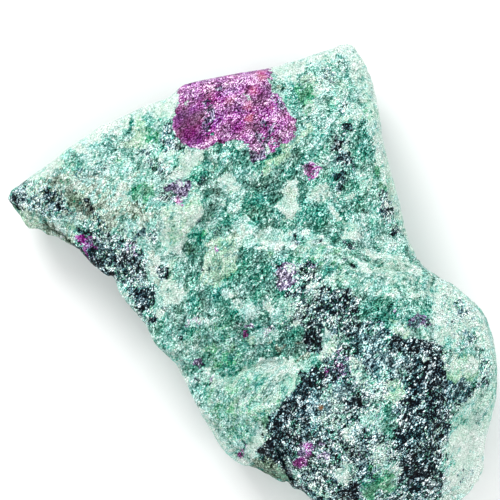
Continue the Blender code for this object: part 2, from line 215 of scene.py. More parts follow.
# Sunken (or with a minus, raised) ground with a crisp rim: depth in mm, softness of the rim, shape
SUNK = [
    (0.50, 2.0, ("area", [(205, 190), (222, 189), (228, 201), (226, 214), (208, 222), (204, 234), (205, 250), (203, 264),
                          (197, 280), (188, 300), (184, 290), (188, 272), (186, 256), (181, 249), (186, 236), (198, 222),
                          (204, 214)])),
    (-0.30, 1.8, ("area", [(181, 82), (270, 66), (269, 82), (275, 92), (282, 99), (287, 109), (292, 117), (296, 127),
                           (296, 134), (290, 138), (284, 145), (277, 151), (264, 154), (252, 159), (248, 148),
                           (244, 140), (230, 139), (218, 142), (207, 146), (195, 148), (186, 145), (178, 138),
                           (171, 128), (174, 118), (178, 110), (180, 98)])),
    (0.70, 1.0, ("vein", [1.3, (344.5, 259), (349, 263), (353.5, 267)])),
    (0.45, 0.8, ("vein", [0.7, (236, 435), (241, 440), (246.5, 445)])),
    (0.40, 1.0, ("vein", [1.0, (350, 131), (358, 128), (364, 124)])),
    (-0.25, 2.0, ("area", [(293, 178), (299, 183), (298, 199), (301, 207), (293, 217), (282, 214), (275, 206), (283, 199),
                           (286, 188)])),
    (-0.25, 2.0, ("area", [(206, 239), (214, 238), (226, 236), (240, 236), (238, 250), (236, 262), (234, 271), (222, 277),
                           (209, 286), (198, 283), (202, 275), (205, 262), (204, 250)])),
    (0.35, 2.0, ("spot", (166, 274, 6, 5))),
    (0.30, 2.5, ("area", [(128, 292), (142, 288), (154, 288), (156, 300), (146, 312), (134, 306)])),
    (0.25, 2.0, ("spot", (310, 172, 8, 8))),
    (0.30, 2.0, ("area", [(243, 212), (252, 190), (268, 184), (280, 196), (274, 206), (282, 216), (276, 228), (262, 230)])),
    (0.25, 2.0, ("area", [(317, 206), (325, 206), (329, 213), (326, 224), (316, 233), (300, 225), (304, 220), (311, 215)])),
    (0.30, 2.5, ("area", [(306, 330), (318, 330), (323, 340), (318, 352), (308, 352), (304, 342)])),
    (0.35, 3.0, ("area", [(412, 372), (438, 366), (450, 378), (444, 406), (430, 416), (414, 414), (408, 400)])),
]

# ---------------------------------------------------------------- minerals
# Families of grains. Each has five colours (sRGB, 0 to 255) from its darkest grains to its palest.
FAMILIES = {
    "zoisite": [(0, 44, 36), (22, 100, 84), (88, 161, 145), (176, 219, 210), (231, 251, 248)],
    "hornblende": [(0, 0, 5), (0, 7, 15), (15, 45, 56), (130, 165, 172), (243, 254, 255)],
    "ruby": [(46, 0, 42), (98, 28, 90), (150, 78, 146), (205, 144, 206), (250, 222, 252)],
    "olive": [(20, 32, 24), (78, 102, 84), (138, 163, 145), (196, 216, 202), (238, 249, 243)],
    "pale": [(50, 112, 92), (106, 162, 142), (158, 202, 186), (205, 228, 217), (247, 251, 249)],
    "lime": [(46, 106, 78), (100, 156, 126), (150, 196, 168), (200, 224, 206), (238, 247, 238)],
    "lavender": [(6, 4, 18), (52, 46, 74), (128, 120, 152), (202, 196, 220), (248, 248, 255)],
    "slate": [(0, 10, 18), (14, 50, 60), (76, 122, 128), (164, 202, 205), (238, 254, 255)],
    "leaf": [(0, 56, 34), (24, 108, 76), (84, 162, 126), (162, 214, 188), (224, 250, 239)],
}
ORDER = ["leaf", "slate", "pale", "lime", "olive", "hornblende", "lavender", "ruby"]

# Mixes of grains: share of each family (zoisite is the rest), tone (-0.5 dark to 0.5 pale), contrast between grains
MIXES = {
    "green": ({}, 0.06, 1.05),
    "deep": ({}, 0.0, 1.10),
    "bright green": ({"leaf": 0.35}, 0.06, 0.80),
    "leaf": ({"leaf": 0.9}, 0.01, 0.85),
    "mint": ({"pale": 0.35}, 0.11, 0.75),
    "white": ({"pale": 0.50}, 0.25, 0.70),
    "smooth pale": ({"pale": 0.85}, 0.16, 0.50),
    "smooth white": ({"pale": 0.90}, 0.28, 0.45),
    "smooth mint": ({"pale": 0.70}, 0.06, 0.60),
    "lime": ({"lime": 0.90}, 0.0, 0.75),
    "pale lime": ({"lime": 0.70, "pale": 0.1}, 0.07, 0.75),
    "pepper": ({"hornblende": 0.50, "slate": 0.22, "pale": 0.14}, 0.05, 1.55),
    "teal pepper": ({"hornblende": 0.33, "slate": 0.48}, 0.06, 1.45),
    "hornblende": ({"hornblende": 0.62, "slate": 0.32}, 0.01, 1.60),
    "black": ({"hornblende": 0.85, "slate": 0.12}, -0.02, 1.65),
    "slate": ({"slate": 0.75, "hornblende": 0.1}, -0.01, 1.30),
    "pale slate": ({"slate": 0.80}, 0.07, 1.25),
    "ruby": ({"ruby": 1.0}, 0.03, 0.95),
    "deep ruby": ({"ruby": 1.0}, -0.15, 0.65),
    "pink": ({"ruby": 1.0}, 0.13, 1.00),
    "lavender": ({"lavender": 0.80}, 0.07, 1.30),
    "dark lavender": ({"lavender": 0.90}, -0.05, 1.25),
    "olive": ({"olive": 0.80}, 0.06, 1.05),
    "olive dark": ({"olive": 0.90}, -0.09, 1.15),
    "brown": ({"olive": 1.0}, -0.28, 0.80),
    "beige": ({"olive": 0.60}, 0.18, 0.80),
    "grey mint": ({"pale": 0.60, "slate": 0.15}, 0.14, 0.80),
    "cream": ({"pale": 0.95}, 0.36, 0.40),
}

# Where each mix lies on the upper face, broad ones first: mix, strength, softness of its rim and raggedness of its rim
# (plan units), shape. A later mix covers an earlier one.
PATCHES = [
    # broad ground
    ("mint", 0.65, 14, 8, ("area", [(0, 160), (120, 90), (190, 80), (215, 150), (200, 200), (215, 240), (190, 300), (150, 330), (60, 250)])),
    ("green", 0.8, 10, 8, ("area", [(300, 60), (370, 60), (400, 240), (300, 250), (280, 150)])),
    ("deep", 0.45, 9, 7, ("area", [(205, 150), (260, 150), (330, 170), (330, 232), (250, 232), (212, 240), (205, 200)])),
    ("deep", 0.70, 9, 7, ("area", [(190, 240), (240, 245), (300, 250), (300, 290), (255, 305), (300, 330), (300, 362), (262, 362), (215, 376), (185, 340), (185, 300)])),
    ("mint", 0.60, 10, 8, ("area", [(420, 280), (470, 300), (498, 340), (498, 430), (470, 480), (450, 470), (450, 400), (430, 340), (400, 300)])),
    ("smooth mint", 0.55, 8, 6, ("area", [(300, 247), (345, 250), (372, 260), (425, 268), (450, 292), (430, 305), (395, 300), (360, 292), (330, 275)])),
    ("mint", 0.80, 8, 6, ("area", [(200, 385), (232, 372), (292, 362), (296, 380), (272, 405), (262, 440), (250, 462), (215, 440), (190, 395)])),
    ("pepper", 0.85, 10, 8, ("area", [(330, 350), (400, 335), (440, 345), (452, 380), (450, 535), (330, 530), (266, 460), (262, 440), (290, 400), (310, 370)])),
    # pale rim of the upper left and upper right
    ("smooth white", 0.75, 7, 4, ("vein", [7, (28, 174), (60, 154), (88, 138), (128, 118), (158, 104), (180, 90)])),
    ("smooth white", 0.85, 6, 4, ("area", [(262, 66), (285, 62), (300, 56), (325, 48), (350, 40), (354, 52), (345, 60), (325, 63), (310, 64), (300, 72), (292, 79), (280, 77), (270, 76)])),
    ("smooth pale", 0.70, 7, 4, ("vein", [6, (352, 48), (366, 68), (376, 92), (381, 118), (388, 158), (398, 196), (406, 230), (414, 252)])),
    ("smooth white", 0.45, 7, 4, ("vein", [7, (440, 284), (462, 294), (478, 306), (490, 324), (495, 345)])),
    # left tip
    ("teal pepper", 0.85, 6, 5, ("area", [(8, 192), (28, 178), (42, 186), (62, 196), (66, 214), (45, 220), (28, 212), (14, 204)])),
    ("black", 0.80, 3, 4, ("vein", [4, (40, 189), (48, 198), (58, 204), (66, 209)])),
    ("black", 0.75, 3, 3, ("spot", (21, 199, 5, 4))),
    ("black", 0.70, 2, 3, ("spot", (31, 187, 3, 4))),
    ("olive", 0.85, 5, 5, ("area", [(44, 176), (58, 174), (70, 184), (84, 196), (98, 210), (92, 214), (74, 200), (58, 192), (46, 186)])),
    ("olive dark", 0.65, 4, 4, ("vein", [4, (52, 182), (66, 194), (78, 204), (88, 212)])),
    ("leaf", 0.60, 4, 4, ("spot", (62, 185, 7, 5))),
    ("smooth pale", 0.80, 4, 4, ("area", [(24, 172), (42, 163), (57, 158), (60, 170), (50, 174), (38, 180)])),
    ("mint", 0.70, 5, 5, ("area", [(44, 212), (60, 206), (84, 214), (86, 224), (70, 226), (50, 222)])),
    ("slate", 0.80, 3, 4, ("spot", (57, 213, 7, 4, 40))),
    ("slate", 0.80, 3, 4, ("spot", (82, 230, 8, 5))),
    ("slate", 0.60, 3, 4, ("spot", (75, 213, 9, 4))),
    ("lime", 0.80, 3, 3, ("spot", (68, 228, 7, 5, 30))),
    ("beige", 0.65, 6, 5, ("area", [(74, 180), (92, 176), (104, 186), (100, 198), (84, 194)])),
    ("black", 0.75, 3, 3, ("vein", [3, (88, 204), (95, 212), (102, 222)])),
    ("olive", 0.60, 7, 6, ("area", [(86, 200), (110, 196), (140, 205), (150, 225), (130, 236), (104, 226)])),
    ("beige", 0.75, 3, 3, ("vein", [4, (108, 207), (118, 196), (127, 185), (136, 175)])),
    ("mint", 0.70, 6, 5, ("area", [(110, 226), (130, 222), (150, 230), (158, 244), (140, 246), (118, 238)])),
    ("pepper", 0.70, 5, 5, ("area", [(96, 222), (112, 232), (118, 246), (104, 250), (94, 236)])),
    # side face under the left tip
    ("lime", 0.90, 3, 2, ("area", [(14, 206), (24, 208), (34, 214), (42, 222), (44, 232), (30, 230), (20, 220)])),
    ("olive", 0.55, 3, 3, ("vein", [3, (26, 208), (36, 216), (46, 223)])),
    ("brown", 0.90, 2, 2, ("area", [(42, 222), (50, 222), (56, 230), (52, 237), (44, 236)])),
    ("olive dark", 0.85, 3, 3, ("vein", [4, (52, 232), (62, 238), (72, 244)])),
    ("dark lavender", 0.50, 2, 2, ("spot", (60, 235, 5, 3, 30))),
    # painted shade: black lines along the lower-left rim where the surface curves under
    ("black", 0.90, 2, 2, ("vein", [2, (10, 199), (17, 204), (24, 210)])),
    ("black", 0.90, 2, 2, ("vein", [4, (72, 248), (84, 257), (96, 267), (110, 276)])),
    ("deep ruby", 0.50, 3, 3, ("vein", [4, (86, 254), (96, 262)])),
    ("ruby", 0.74, 3, 3, ("area", [(76, 238), (83, 234), (94, 240), (97, 250), (90, 256), (80, 249)])),
    ("pink", 0.62, 2, 2, ("spot", (82, 241, 5, 3, 20))),
    ("deep ruby", 0.62, 3, 3, ("spot", (96, 250, 4, 9, -20))),
    # dark band along the lower left edge
    ("pepper", 0.80, 6, 6, ("area", [(108, 248), (118, 240), (138, 242), (146, 256), (146, 274), (150, 300), (146, 320), (132, 308), (120, 284), (104, 262)])),
    ("black", 0.75, 4, 4, ("area", [(112, 258), (124, 252), (138, 260), (140, 272), (122, 274)])),
    ("black", 0.85, 3, 3, ("area", [(128, 292), (142, 288), (154, 288), (156, 300), (146, 312), (134, 306)])),
    ("white", 0.75, 3, 3, ("spot", (133, 284, 8, 4, 30))),
    ("white", 0.75, 3, 3, ("spot", (112, 272, 3, 3))),
    ("pepper", 0.60, 4, 4, ("area", [(140, 305), (152, 300), (160, 318), (156, 330), (146, 326)])),
    ("slate", 0.60, 6, 5, ("spot", (134, 232, 14, 7, 10))),
    ("beige", 0.85, 5, 4, ("area", [(147, 244), (154, 252), (164, 266), (164, 280), (160, 292), (154, 284), (148, 266), (142, 250)])),
    ("black", 0.95, 2, 3, ("spot", (166, 274, 6, 5))),
    # upper left panel
    ("smooth white", 0.95, 4, 3, ("area", [(158, 101), (176, 91), (180, 98), (176, 112), (171, 121), (158, 120), (154, 110)])),
    ("pale lime", 0.85, 3, 3, ("area", [(140, 116), (146, 126), (145, 140), (137, 147), (126, 144), (131, 134), (134, 124)])),
    ("green", 0.80, 4, 4, ("area", [(100, 134), (110, 134), (116, 142), (116, 154), (120, 160), (112, 163), (104, 152)])),
    ("leaf", 0.75, 3, 3, ("spot", (115, 159, 5, 3))),
    ("deep", 0.75, 3, 3, ("vein", [2, (132, 116), (130, 124), (127, 131)])),
    ("leaf", 0.85, 3, 3, ("area", [(147, 126), (155, 128), (158, 138), (152, 143), (146, 140)])),
    ("teal pepper", 0.85, 4, 4, ("area", [(160, 124), (170, 122), (173, 134), (180, 145), (196, 150), (186, 154), (170, 148), (160, 150), (146, 154), (134, 156), (132, 148), (150, 146), (160, 140)])),
    ("teal pepper", 0.85, 4, 4, ("area", [(140, 158), (152, 158), (168, 164), (170, 174), (160, 176), (148, 170)])),
    ("black", 0.60, 2, 3, ("spot", (166, 173, 4, 3))),
    ("deep", 0.70, 3, 3, ("spot", (134, 168, 5, 6))),
    ("slate", 0.65, 3, 3, ("spot", (76, 172, 6, 5))),
    ("green", 0.70, 5, 5, ("area", [(60, 152), (74, 146), (84, 152), (82, 164), (68, 166), (58, 162)])),
    ("slate", 0.45, 4, 4, ("spot", (96, 168, 9, 6, -20))),
    ("mint", 0.70, 5, 4, ("area", [(104, 166), (126, 162), (130, 170), (118, 176), (104, 174)])),
    ("leaf", 0.80, 4, 4, ("area", [(130, 192), (144, 184), (154, 186), (156, 196), (144, 200), (132, 198)])),
    ("olive", 0.45, 5, 5, ("area", [(118, 200), (140, 200), (156, 206), (150, 216), (126, 214)])),
    ("mint", 0.55, 4, 4, ("vein", [4, (134, 176), (150, 172), (162, 182)])),
    ("smooth pale", 0.90, 3, 3, ("area", [(169, 149), (182, 151), (192, 150), (203, 148), (204, 158), (195, 165), (190, 172), (184, 178), (174, 177), (169, 172), (160, 165), (158, 155)])),
    ("lime", 0.45, 4, 3, ("spot", (180, 166, 8, 7))),
    ("dark lavender", 0.90, 3, 4, ("area", [(166, 182), (176, 180), (184, 178), (190, 180), (190, 190), (182, 197), (176, 198), (168, 192)])),
    ("smooth white", 0.60, 2, 2, ("spot", (181, 184, 3, 3))),
    ("pepper", 0.60, 3, 3, ("area", [(160, 192), (172, 194), (176, 200), (166, 204), (158, 200)])),
    ("pink", 0.66, 2, 2, ("vein", [2.5, (177, 199), (182, 203), (187, 207)])),
    ("smooth white", 0.60, 2, 2, ("spot", (184, 198, 3, 3))),
    # left scar: pale plate and the green strip beside it
    ("smooth pale", 0.95, 2.5, 2.5, ("area", [(188, 200), (192, 197), (199, 197), (203, 200), (204, 206), (203, 213), (200, 221), (193, 227), (187, 235), (184, 243), (181, 249), (180, 256), (168, 254), (163, 243), (160, 228), (163, 218), (162, 210), (166, 206), (174, 204), (184, 207)])),
    ("pale lime", 0.55, 4, 3, ("spot", (194, 207, 8, 9, 20))),
    ("smooth mint", 0.70, 5, 4, ("spot", (173, 227, 8, 11, 10))),
    ("smooth pale", 0.80, 4, 4, ("area", [(163, 280), (172, 276), (184, 282), (188, 292), (182, 304), (168, 304), (162, 292)])),
    ("smooth mint", 0.50, 4, 4, ("spot", (178, 290, 7, 8))),
    ("deep", 1.00, 1.5, 2, ("area", [(192, 229), (197, 224), (203, 226), (206, 234), (205, 240), (203, 248), (204, 258), (203, 264), (199, 276), (194, 288), (188, 300), (186, 292), (190, 281), (187, 268), (187, 258), (187, 252), (181, 250), (184, 243), (187, 235)])),
    ("slate", 0.60, 2, 2, ("spot", (202, 221, 4, 4))),
    ("mint", 0.55, 2, 2, ("spot", (198, 226, 3, 2))),
    ("pepper", 0.60, 3, 3, ("spot", (152, 236, 5, 6))),
    # middle panel
    ("deep", 0.95, 3, 3, ("area", [(204, 154), (217, 145), (233, 145), (246, 152), (245, 163), (236, 165), (241, 182), (233, 176), (226, 173), (219, 178), (221, 186), (210, 189), (193, 187), (191, 177), (195, 165)])),
    ("leaf", 0.45, 4, 3, ("spot", (222, 166, 9, 6))),
    ("slate", 0.50, 4, 4, ("spot", (200, 182, 8, 6))),
    ("smooth pale", 0.75, 2, 2, ("spot", (226, 154, 4, 2.5))),
    ("mint", 0.60, 2, 2, ("spot", (203, 166, 5, 2.5, -30))),
    ("white", 0.75, 2, 2, ("spot", (196, 184, 2.5, 2.5))),
    ("smooth pale", 0.90, 2.5, 2.5, ("area", [(226, 173), (233, 176), (237, 181), (241, 186), (239, 192), (231, 194), (225, 190), (221, 184), (219, 179)])),
    ("deep", 1.00, 2, 2.5, ("area", [(208, 189), (218, 188), (227, 192), (227, 200), (221, 205), (227, 210), (229, 217), (217, 216), (203, 222), (203, 214), (204, 206), (202, 198)])),
    ("smooth white", 0.85, 2, 2, ("spot", (223, 205, 5, 3, 15))),
    ("white", 0.70, 2, 2, ("spot", (214, 203, 2.5, 2))),
    ("slate", 0.70, 3, 3, ("spot", (219, 231, 10, 7))),
    ("mint", 0.70, 2, 2.5, ("spot", (212, 222, 6, 4))),
    ("mint", 0.70, 4, 4, ("area", [(228, 194), (244, 190), (250, 198), (244, 214), (234, 222), (229, 210)])),
    ("deep", 0.90, 3, 3.5, ("area", [(250, 188), (262, 180), (272, 188), (280, 196), (274, 206), (282, 216), (276, 228), (262, 230), (252, 220), (244, 210), (245, 196)])),
    ("deep", 0.85, 3, 3, ("area", [(266, 180), (280, 172), (296, 162), (300, 168), (284, 186), (276, 194)])),
    ("black", 0.85, 2, 2, ("vein", [2.2, (263, 173), (261, 182), (258, 188)])),
    ("black", 0.90, 1.5, 1.5, ("spot", (266, 170, 2, 2))),
    ("mint", 0.60, 3, 3, ("area", [(244, 166), (254, 162), (262, 168), (258, 180), (250, 186), (244, 178)])),
    ("white", 0.80, 3, 3, ("area", [(234, 142), (246, 142), (248, 148), (238, 150)])),
    ("smooth pale", 0.92, 2, 2.5, ("area", [(293, 178), (299, 183), (298, 199), (301, 207), (293, 217), (282, 214), (275, 206), (283, 199), (286, 188)])),
    ("pale lime", 0.55, 3, 2, ("spot", (292, 194, 5, 8))),
    ("smooth pale", 0.80, 3, 3, ("area", [(325, 180), (333, 184), (331, 195), (321, 203), (312, 201), (306, 195), (316, 188)])),
    ("deep", 0.80, 2, 2.5, ("area", [(300, 184), (306, 186), (306, 196), (312, 204), (304, 206), (300, 200)])),
    ("deep", 0.98, 2, 2.5, ("area", [(317, 206), (325, 206), (329, 213), (326, 224), (323, 232), (316, 233), (308, 228), (300, 225), (304, 220), (311, 215)])),
    ("deep", 0.80, 3, 3, ("area", [(336, 204), (344, 200), (360, 198), (368, 206), (362, 214), (348, 216), (338, 212)])),
    ("deep", 0.90, 2, 2, ("area", [(333, 230), (341, 229), (342, 238), (336, 243), (331, 241)])),
    ("smooth white", 0.85, 1.5, 2, ("vein", [2.5, (331, 205), (335, 213), (339, 220)])),
    ("smooth pale", 0.85, 3, 3, ("area", [(343, 222), (354, 222), (362, 226), (361, 238), (350, 241), (343, 236)])),
    ("white", 0.75, 4, 4, ("area", [(262, 228), (280, 226), (296, 230), (294, 244), (270, 244), (252, 242)])),
    ("white", 0.75, 4, 4, ("area", [(300, 228), (316, 234), (332, 236), (330, 246), (312, 246), (300, 242)])),
    ("mint", 0.60, 4, 4, ("area", [(362, 214), (378, 210), (386, 226), (384, 244), (370, 248), (362, 236)])),
    ("green", 0.75, 3, 3, ("spot", (369, 230, 4, 8))),
    ("deep", 0.70, 3, 3, ("spot", (364, 247, 5, 4))),
    ("deep", 0.75, 3, 3, ("spot", (376, 247, 5, 4))),
    ("hornblende", 0.85, 2, 2, ("vein", [1.6, (296, 234), (295, 240), (297, 244), (301, 242), (303, 236)])),
    ("black", 0.85, 1.5, 1, ("spot", (320, 241, 1.8, 1.8))),
    ("black", 0.90, 1.5, 1, ("spot", (344, 242, 2.2, 2))),
    ("hornblende", 0.85, 2, 2, ("spot", (349, 246, 4, 2, 10))),
    ("black", 0.80, 1.5, 1, ("spot", (354, 243, 1.6, 1.6))),
    ("black", 0.80, 1.5, 1, ("spot", (329, 236, 1.2, 1.2))),
    ("slate", 0.60, 2, 2, ("spot", (315, 242, 4, 3))),
    ("white", 0.70, 3, 3, ("area", [(230, 226), (244, 218), (256, 226), (250, 238), (236, 240)])),
    # right side of the upper panel
    ("mint", 0.65, 4, 4, ("area", [(358, 170), (368, 170), (374, 180), (370, 190), (358, 188)])),
    ("leaf", 0.65, 3, 3, ("area", [(374, 166), (384, 166), (388, 178), (386, 190), (376, 188)])),
    ("pepper", 0.80, 3, 3, ("area", [(376, 190), (386, 190), (394, 200), (396, 214), (400, 230), (394, 236), (386, 222), (380, 206)])),
    ("smooth white", 0.90, 1.5, 1, ("spot", (387, 205, 3, 3))),
    ("black", 0.95, 1.5, 1, ("spot", (389, 200, 2, 1.6))),
    ("black", 0.95, 1.5, 1, ("spot", (387.5, 210, 2.4, 1.8))),
    ("black", 0.95, 1.5, 1, ("spot", (393.5, 232.5, 3, 2.4, 20))),
    ("slate", 0.80, 2, 2, ("spot", (393, 250, 5, 5))),
    ("white", 0.65, 3, 3, ("area", [(380, 240), (390, 236), (398, 244), (404, 256), (390, 258), (380, 252)])),
    ("mint", 0.60, 3, 3, ("spot", (392, 220, 5, 7))),
    ("black", 0.80, 2, 2, ("spot", (346, 186, 2.6, 2.4))),
    # top right
    ("green", 0.85, 3, 3, ("vein", [5, (338, 60), (344, 70), (350, 80)])),
    ("slate", 0.55, 4, 4, ("area", [(320, 70), (332, 68), (336, 80), (330, 88), (320, 86)])),
    ("pale lime", 0.70, 4, 3, ("area", [(300, 76), (310, 72), (318, 78), (316, 86), (304, 84)])),
    ("leaf", 0.85, 4, 3, ("area", [(296, 80), (306, 82), (316, 88), (319, 98), (313, 106), (308, 116), (303, 108), (299, 98), (294, 90)])),
    ("olive dark", 0.75, 2, 3, ("spot", (281, 86, 5, 4))),
    ("green", 0.70, 4, 4, ("area", [(284, 92), (296, 96), (300, 112), (294, 118), (286, 106)])),
    ("smooth white", 0.75, 2, 2, ("vein", [2.5, (315, 93), (320, 90), (325, 87)])),
    ("mint", 0.60, 4, 4, ("vein", [4, (306, 130), (314, 116), (320, 104)])),
    ("green", 0.70, 4, 4, ("area", [(322, 96), (334, 88), (344, 96), (340, 112), (326, 118)])),
    ("teal pepper", 0.80, 3, 3, ("area", [(335, 100), (346, 96), (350, 104), (344, 116), (338, 112)])),
    ("deep", 0.55, 3, 3, ("spot", (354, 101, 4, 3))),
    ("leaf", 0.60, 4, 4, ("area", [(364, 94), (374, 96), (378, 110), (376, 124), (368, 124), (364, 108)])),
    ("smooth white", 0.70, 2, 2, ("vein", [2.5, (339, 123), (350, 118), (362, 113)])),
    ("white", 0.70, 3, 3, ("area", [(346, 104), (356, 104), (362, 110), (352, 116), (344, 112)])),
    ("pale lime", 0.65, 3, 3, ("area", [(352, 120), (362, 114), (366, 120), (358, 127)])),
    ("black", 0.85, 2, 2, ("spot", (347, 127, 4, 3.5, 30))),
    ("hornblende", 0.80, 1.5, 1.5, ("vein", [1.4, (350, 131), (358, 128), (364, 124)])),
    ("deep", 0.60, 4, 4, ("area", [(318, 126), (330, 122), (340, 130), (336, 142), (322, 144)])),
    ("teal pepper", 0.80, 4, 4, ("area", [(332, 138), (346, 134), (352, 146), (350, 164), (340, 168), (332, 156)])),
    ("black", 0.75, 2, 2, ("spot", (337, 146, 4, 5))),
    ("black", 0.80, 2, 2, ("spot", (343, 158, 4, 4))),
    ("white", 0.70, 2, 2, ("spot", (347, 149, 3, 3))),
    ("deep", 0.70, 4, 4, ("area", [(350, 130), (366, 128), (372, 140), (368, 160), (356, 164), (350, 148)])),
    ("slate", 0.60, 4, 4, ("area", [(330, 172), (344, 168), (352, 178), (352, 190), (338, 190)])),
    ("deep", 0.70, 3, 3, ("area", [(350, 176), (358, 174), (360, 188), (352, 190)])),
    ("mint", 0.60, 4, 4, ("vein", [3.5, (334, 196), (344, 193), (356, 194)])),
    ("deep", 0.85, 3, 3, ("area", [(296, 147), (306, 148), (306, 157), (298, 158)])),
    ("green", 0.60, 4, 4, ("area", [(306, 146), (326, 146), (330, 160), (322, 164), (308, 158)])),
    ("pale lime", 0.90, 3, 3, ("vein", [5, (266, 172), (278, 160), (288, 148), (298, 136), (308, 130)])),
    ("smooth white", 0.75, 3, 3, ("vein", [3, (290, 140), (293, 128), (290, 114)])),
    ("lime", 0.60, 3, 3, ("spot", (282, 158, 8, 4, -45))),
    ("smooth white", 0.55, 3, 3, ("spot", (284, 100, 4, 8, -20))),
    # ruby
    ("ruby", 1.00, 1.8, 2.2, ("area", [(179, 86), (190, 75), (210, 69), (235, 63), (252, 60), (268, 61), (270, 80), (273, 90), (280, 98), (287, 108), (293, 118), (297, 130), (294, 138), (286, 144), (272, 153), (262, 158), (254, 150), (247, 142), (236, 139), (215, 144), (203, 148), (192, 147), (183, 143), (175, 136), (171, 126), (175, 118), (178, 108), (180, 98)])),
    ("deep ruby", 0.95, 4, 3, ("area", [(178, 112), (192, 104), (202, 110), (200, 128), (204, 140), (192, 146), (182, 142), (175, 134), (173, 126)])),
    ("deep ruby", 0.60, 3, 3, ("vein", [4, (186, 100), (196, 98), (206, 104)])),
    ("dark lavender", 0.60, 4, 4, ("area", [(200, 102), (212, 104), (214, 118), (212, 134), (202, 136), (202, 118)])),
    ("pink", 0.75, 4, 3, ("vein", [4.5, (190, 92), (205, 88), (222, 84), (240, 78), (256, 76), (266, 80)])),
    ("pink", 0.85, 3, 2, ("area", [(200, 141), (212, 139), (210, 144), (202, 148), (192, 147), (188, 144)])),
    ("pink", 0.65, 4, 3, ("area", [(224, 92), (240, 88), (246, 96), (236, 102), (226, 100)])),
    ("pink", 0.60, 3, 3, ("spot", (218, 110, 5, 4))),
    ("dark lavender", 0.75, 2, 2, ("spot", (218, 87, 4, 4))),
    ("smooth white", 0.80, 1.5, 1, ("spot", (187, 102.5, 1.8, 2))),
    ("smooth white", 0.60, 2, 2, ("spot", (248, 97, 5, 2.5, 20))),
    ("lavender", 0.70, 4, 3, ("area", [(272, 96), (280, 98), (288, 110), (286, 120), (278, 112), (270, 104)])),
    ("dark lavender", 0.65, 4, 4, ("area", [(254, 122), (268, 122), (276, 130), (274, 142), (262, 152), (256, 142)])),
    ("pink", 0.80, 3, 3, ("spot", (268, 119, 6, 4))),
    ("pink", 0.65, 3, 3, ("spot", (283, 134, 7, 5, -30))),
    ("lavender", 0.60, 3, 3, ("spot", (275, 144, 6, 4, -30))),
    ("deep ruby", 0.75, 2, 2, ("spot", (256, 126, 9, 3, 10))),
    ("deep ruby", 0.60, 3, 3, ("spot", (262, 92, 6, 6))),
    ("dark lavender", 0.85, 3, 3, ("area", [(247, 146), (256, 148), (260, 156), (254, 160), (248, 156)])),
    ("lavender", 0.80, 3, 3, ("spot", (264, 154, 7, 5, -20))),
    ("smooth white", 0.55, 3, 3, ("spot", (268, 152, 4, 4))),
    # small ruby spots
    ("ruby", 0.76, 2, 2, ("spot", (310, 172, 8, 8))),
    ("deep ruby", 0.75, 2, 2, ("spot", (308.5, 169, 4, 4))),
    ("pink", 0.70, 2, 2, ("spot", (316, 168, 3, 4))),
    ("pink", 0.70, 1.5, 1.5, ("spot", (215.5, 249, 1.6, 2.5))),
    ("pink", 0.70, 1.5, 1.5, ("spot", (216, 255, 2, 2))),
    # right scar: lime and beige plate
    ("pale lime", 0.92, 2.5, 2.5, ("area", [(206, 239), (214, 238), (226, 236), (240, 236), (238, 250), (236, 262), (234, 271), (222, 277), (209, 286), (198, 283), (202, 275), (205, 262), (204, 250)])),
    ("lime", 0.80, 4, 3, ("area", [(218, 240), (234, 240), (234, 262), (222, 272), (214, 268), (218, 254)])),
    ("beige", 0.50, 3, 3, ("area", [(206, 240), (213, 240), (213, 262), (208, 272), (204, 264)])),
    ("pepper", 0.55, 2, 2, ("spot", (239, 247, 2, 3))),
    ("deep", 0.70, 3, 3, ("spot", (242, 250, 5, 4))),
    ("black", 0.80, 1.5, 1, ("spot", (202.6, 270, 1.6, 1.6))),
    ("pink", 0.66, 1.5, 1.5, ("spot", (215.5, 249, 1.6, 2.5))),
    ("pink", 0.66, 1.5, 1.5, ("spot", (216, 255, 1.8, 1.8))),
    # below the lip
    ("white", 0.80, 3, 3, ("vein", [3.5, (238, 243), (254, 242), (275, 243), (296, 246)])),
    ("green", 0.75, 3, 3, ("vein", [4, (256, 252), (272, 253), (286, 256)])),
    ("leaf", 0.50, 3, 3, ("spot", (268, 252, 8, 4))),
    ("smooth mint", 0.90, 3, 2, ("area", [(302, 249), (314, 247), (324, 245), (334, 248), (342, 254), (340, 260), (326, 258), (310, 260), (303, 256)])),
    ("leaf", 0.45, 3, 2, ("spot", (330, 253, 7, 4, 25))),
    ("smooth white", 0.70, 2, 2, ("vein", [1.6, (304, 256), (318, 256), (330, 258), (342, 262)])),
    ("deep", 0.75, 4, 3, ("area", [(304, 262), (318, 262), (330, 266), (332, 276), (318, 276), (306, 270)])),
    ("black", 1.00, 1.2, 0.8, ("vein", [1.8, (344.5, 259), (349, 263), (353.5, 267)])),
    ("smooth white", 0.85, 2, 2, ("area", [(354, 258), (361, 262), (370, 270), (376, 276), (368, 278), (360, 272), (355, 266)])),
    ("smooth white", 0.75, 2, 2, ("vein", [2.5, (362, 249), (370, 253), (377, 257)])),
    ("smooth white", 0.65, 3, 2, ("vein", [3, (378, 256), (392, 258), (406, 262), (418, 268)])),
    ("smooth mint", 0.80, 3, 3, ("area", [(368, 266), (384, 268), (408, 274), (428, 280), (426, 290), (404, 288), (382, 284), (372, 278)])),
    ("green", 0.45, 4, 3, ("area", [(376, 276), (400, 280), (424, 282), (424, 290), (400, 290), (380, 286)])),
    ("smooth white", 0.60, 3, 2, ("vein", [2, (384, 264), (400, 268), (420, 274)])),
    ("mint", 0.60, 3, 3, ("vein", [4, (380, 292), (400, 294), (424, 296), (440, 300)])),
    ("white", 0.70, 3, 3, ("spot", (393, 292, 8, 4))),
    # lavender and pepper under the shelf
    ("pepper", 0.85, 4, 4, ("area", [(272, 264), (298, 262), (318, 266), (322, 280), (312, 290), (300, 298), (288, 298), (280, 288), (272, 276)])),
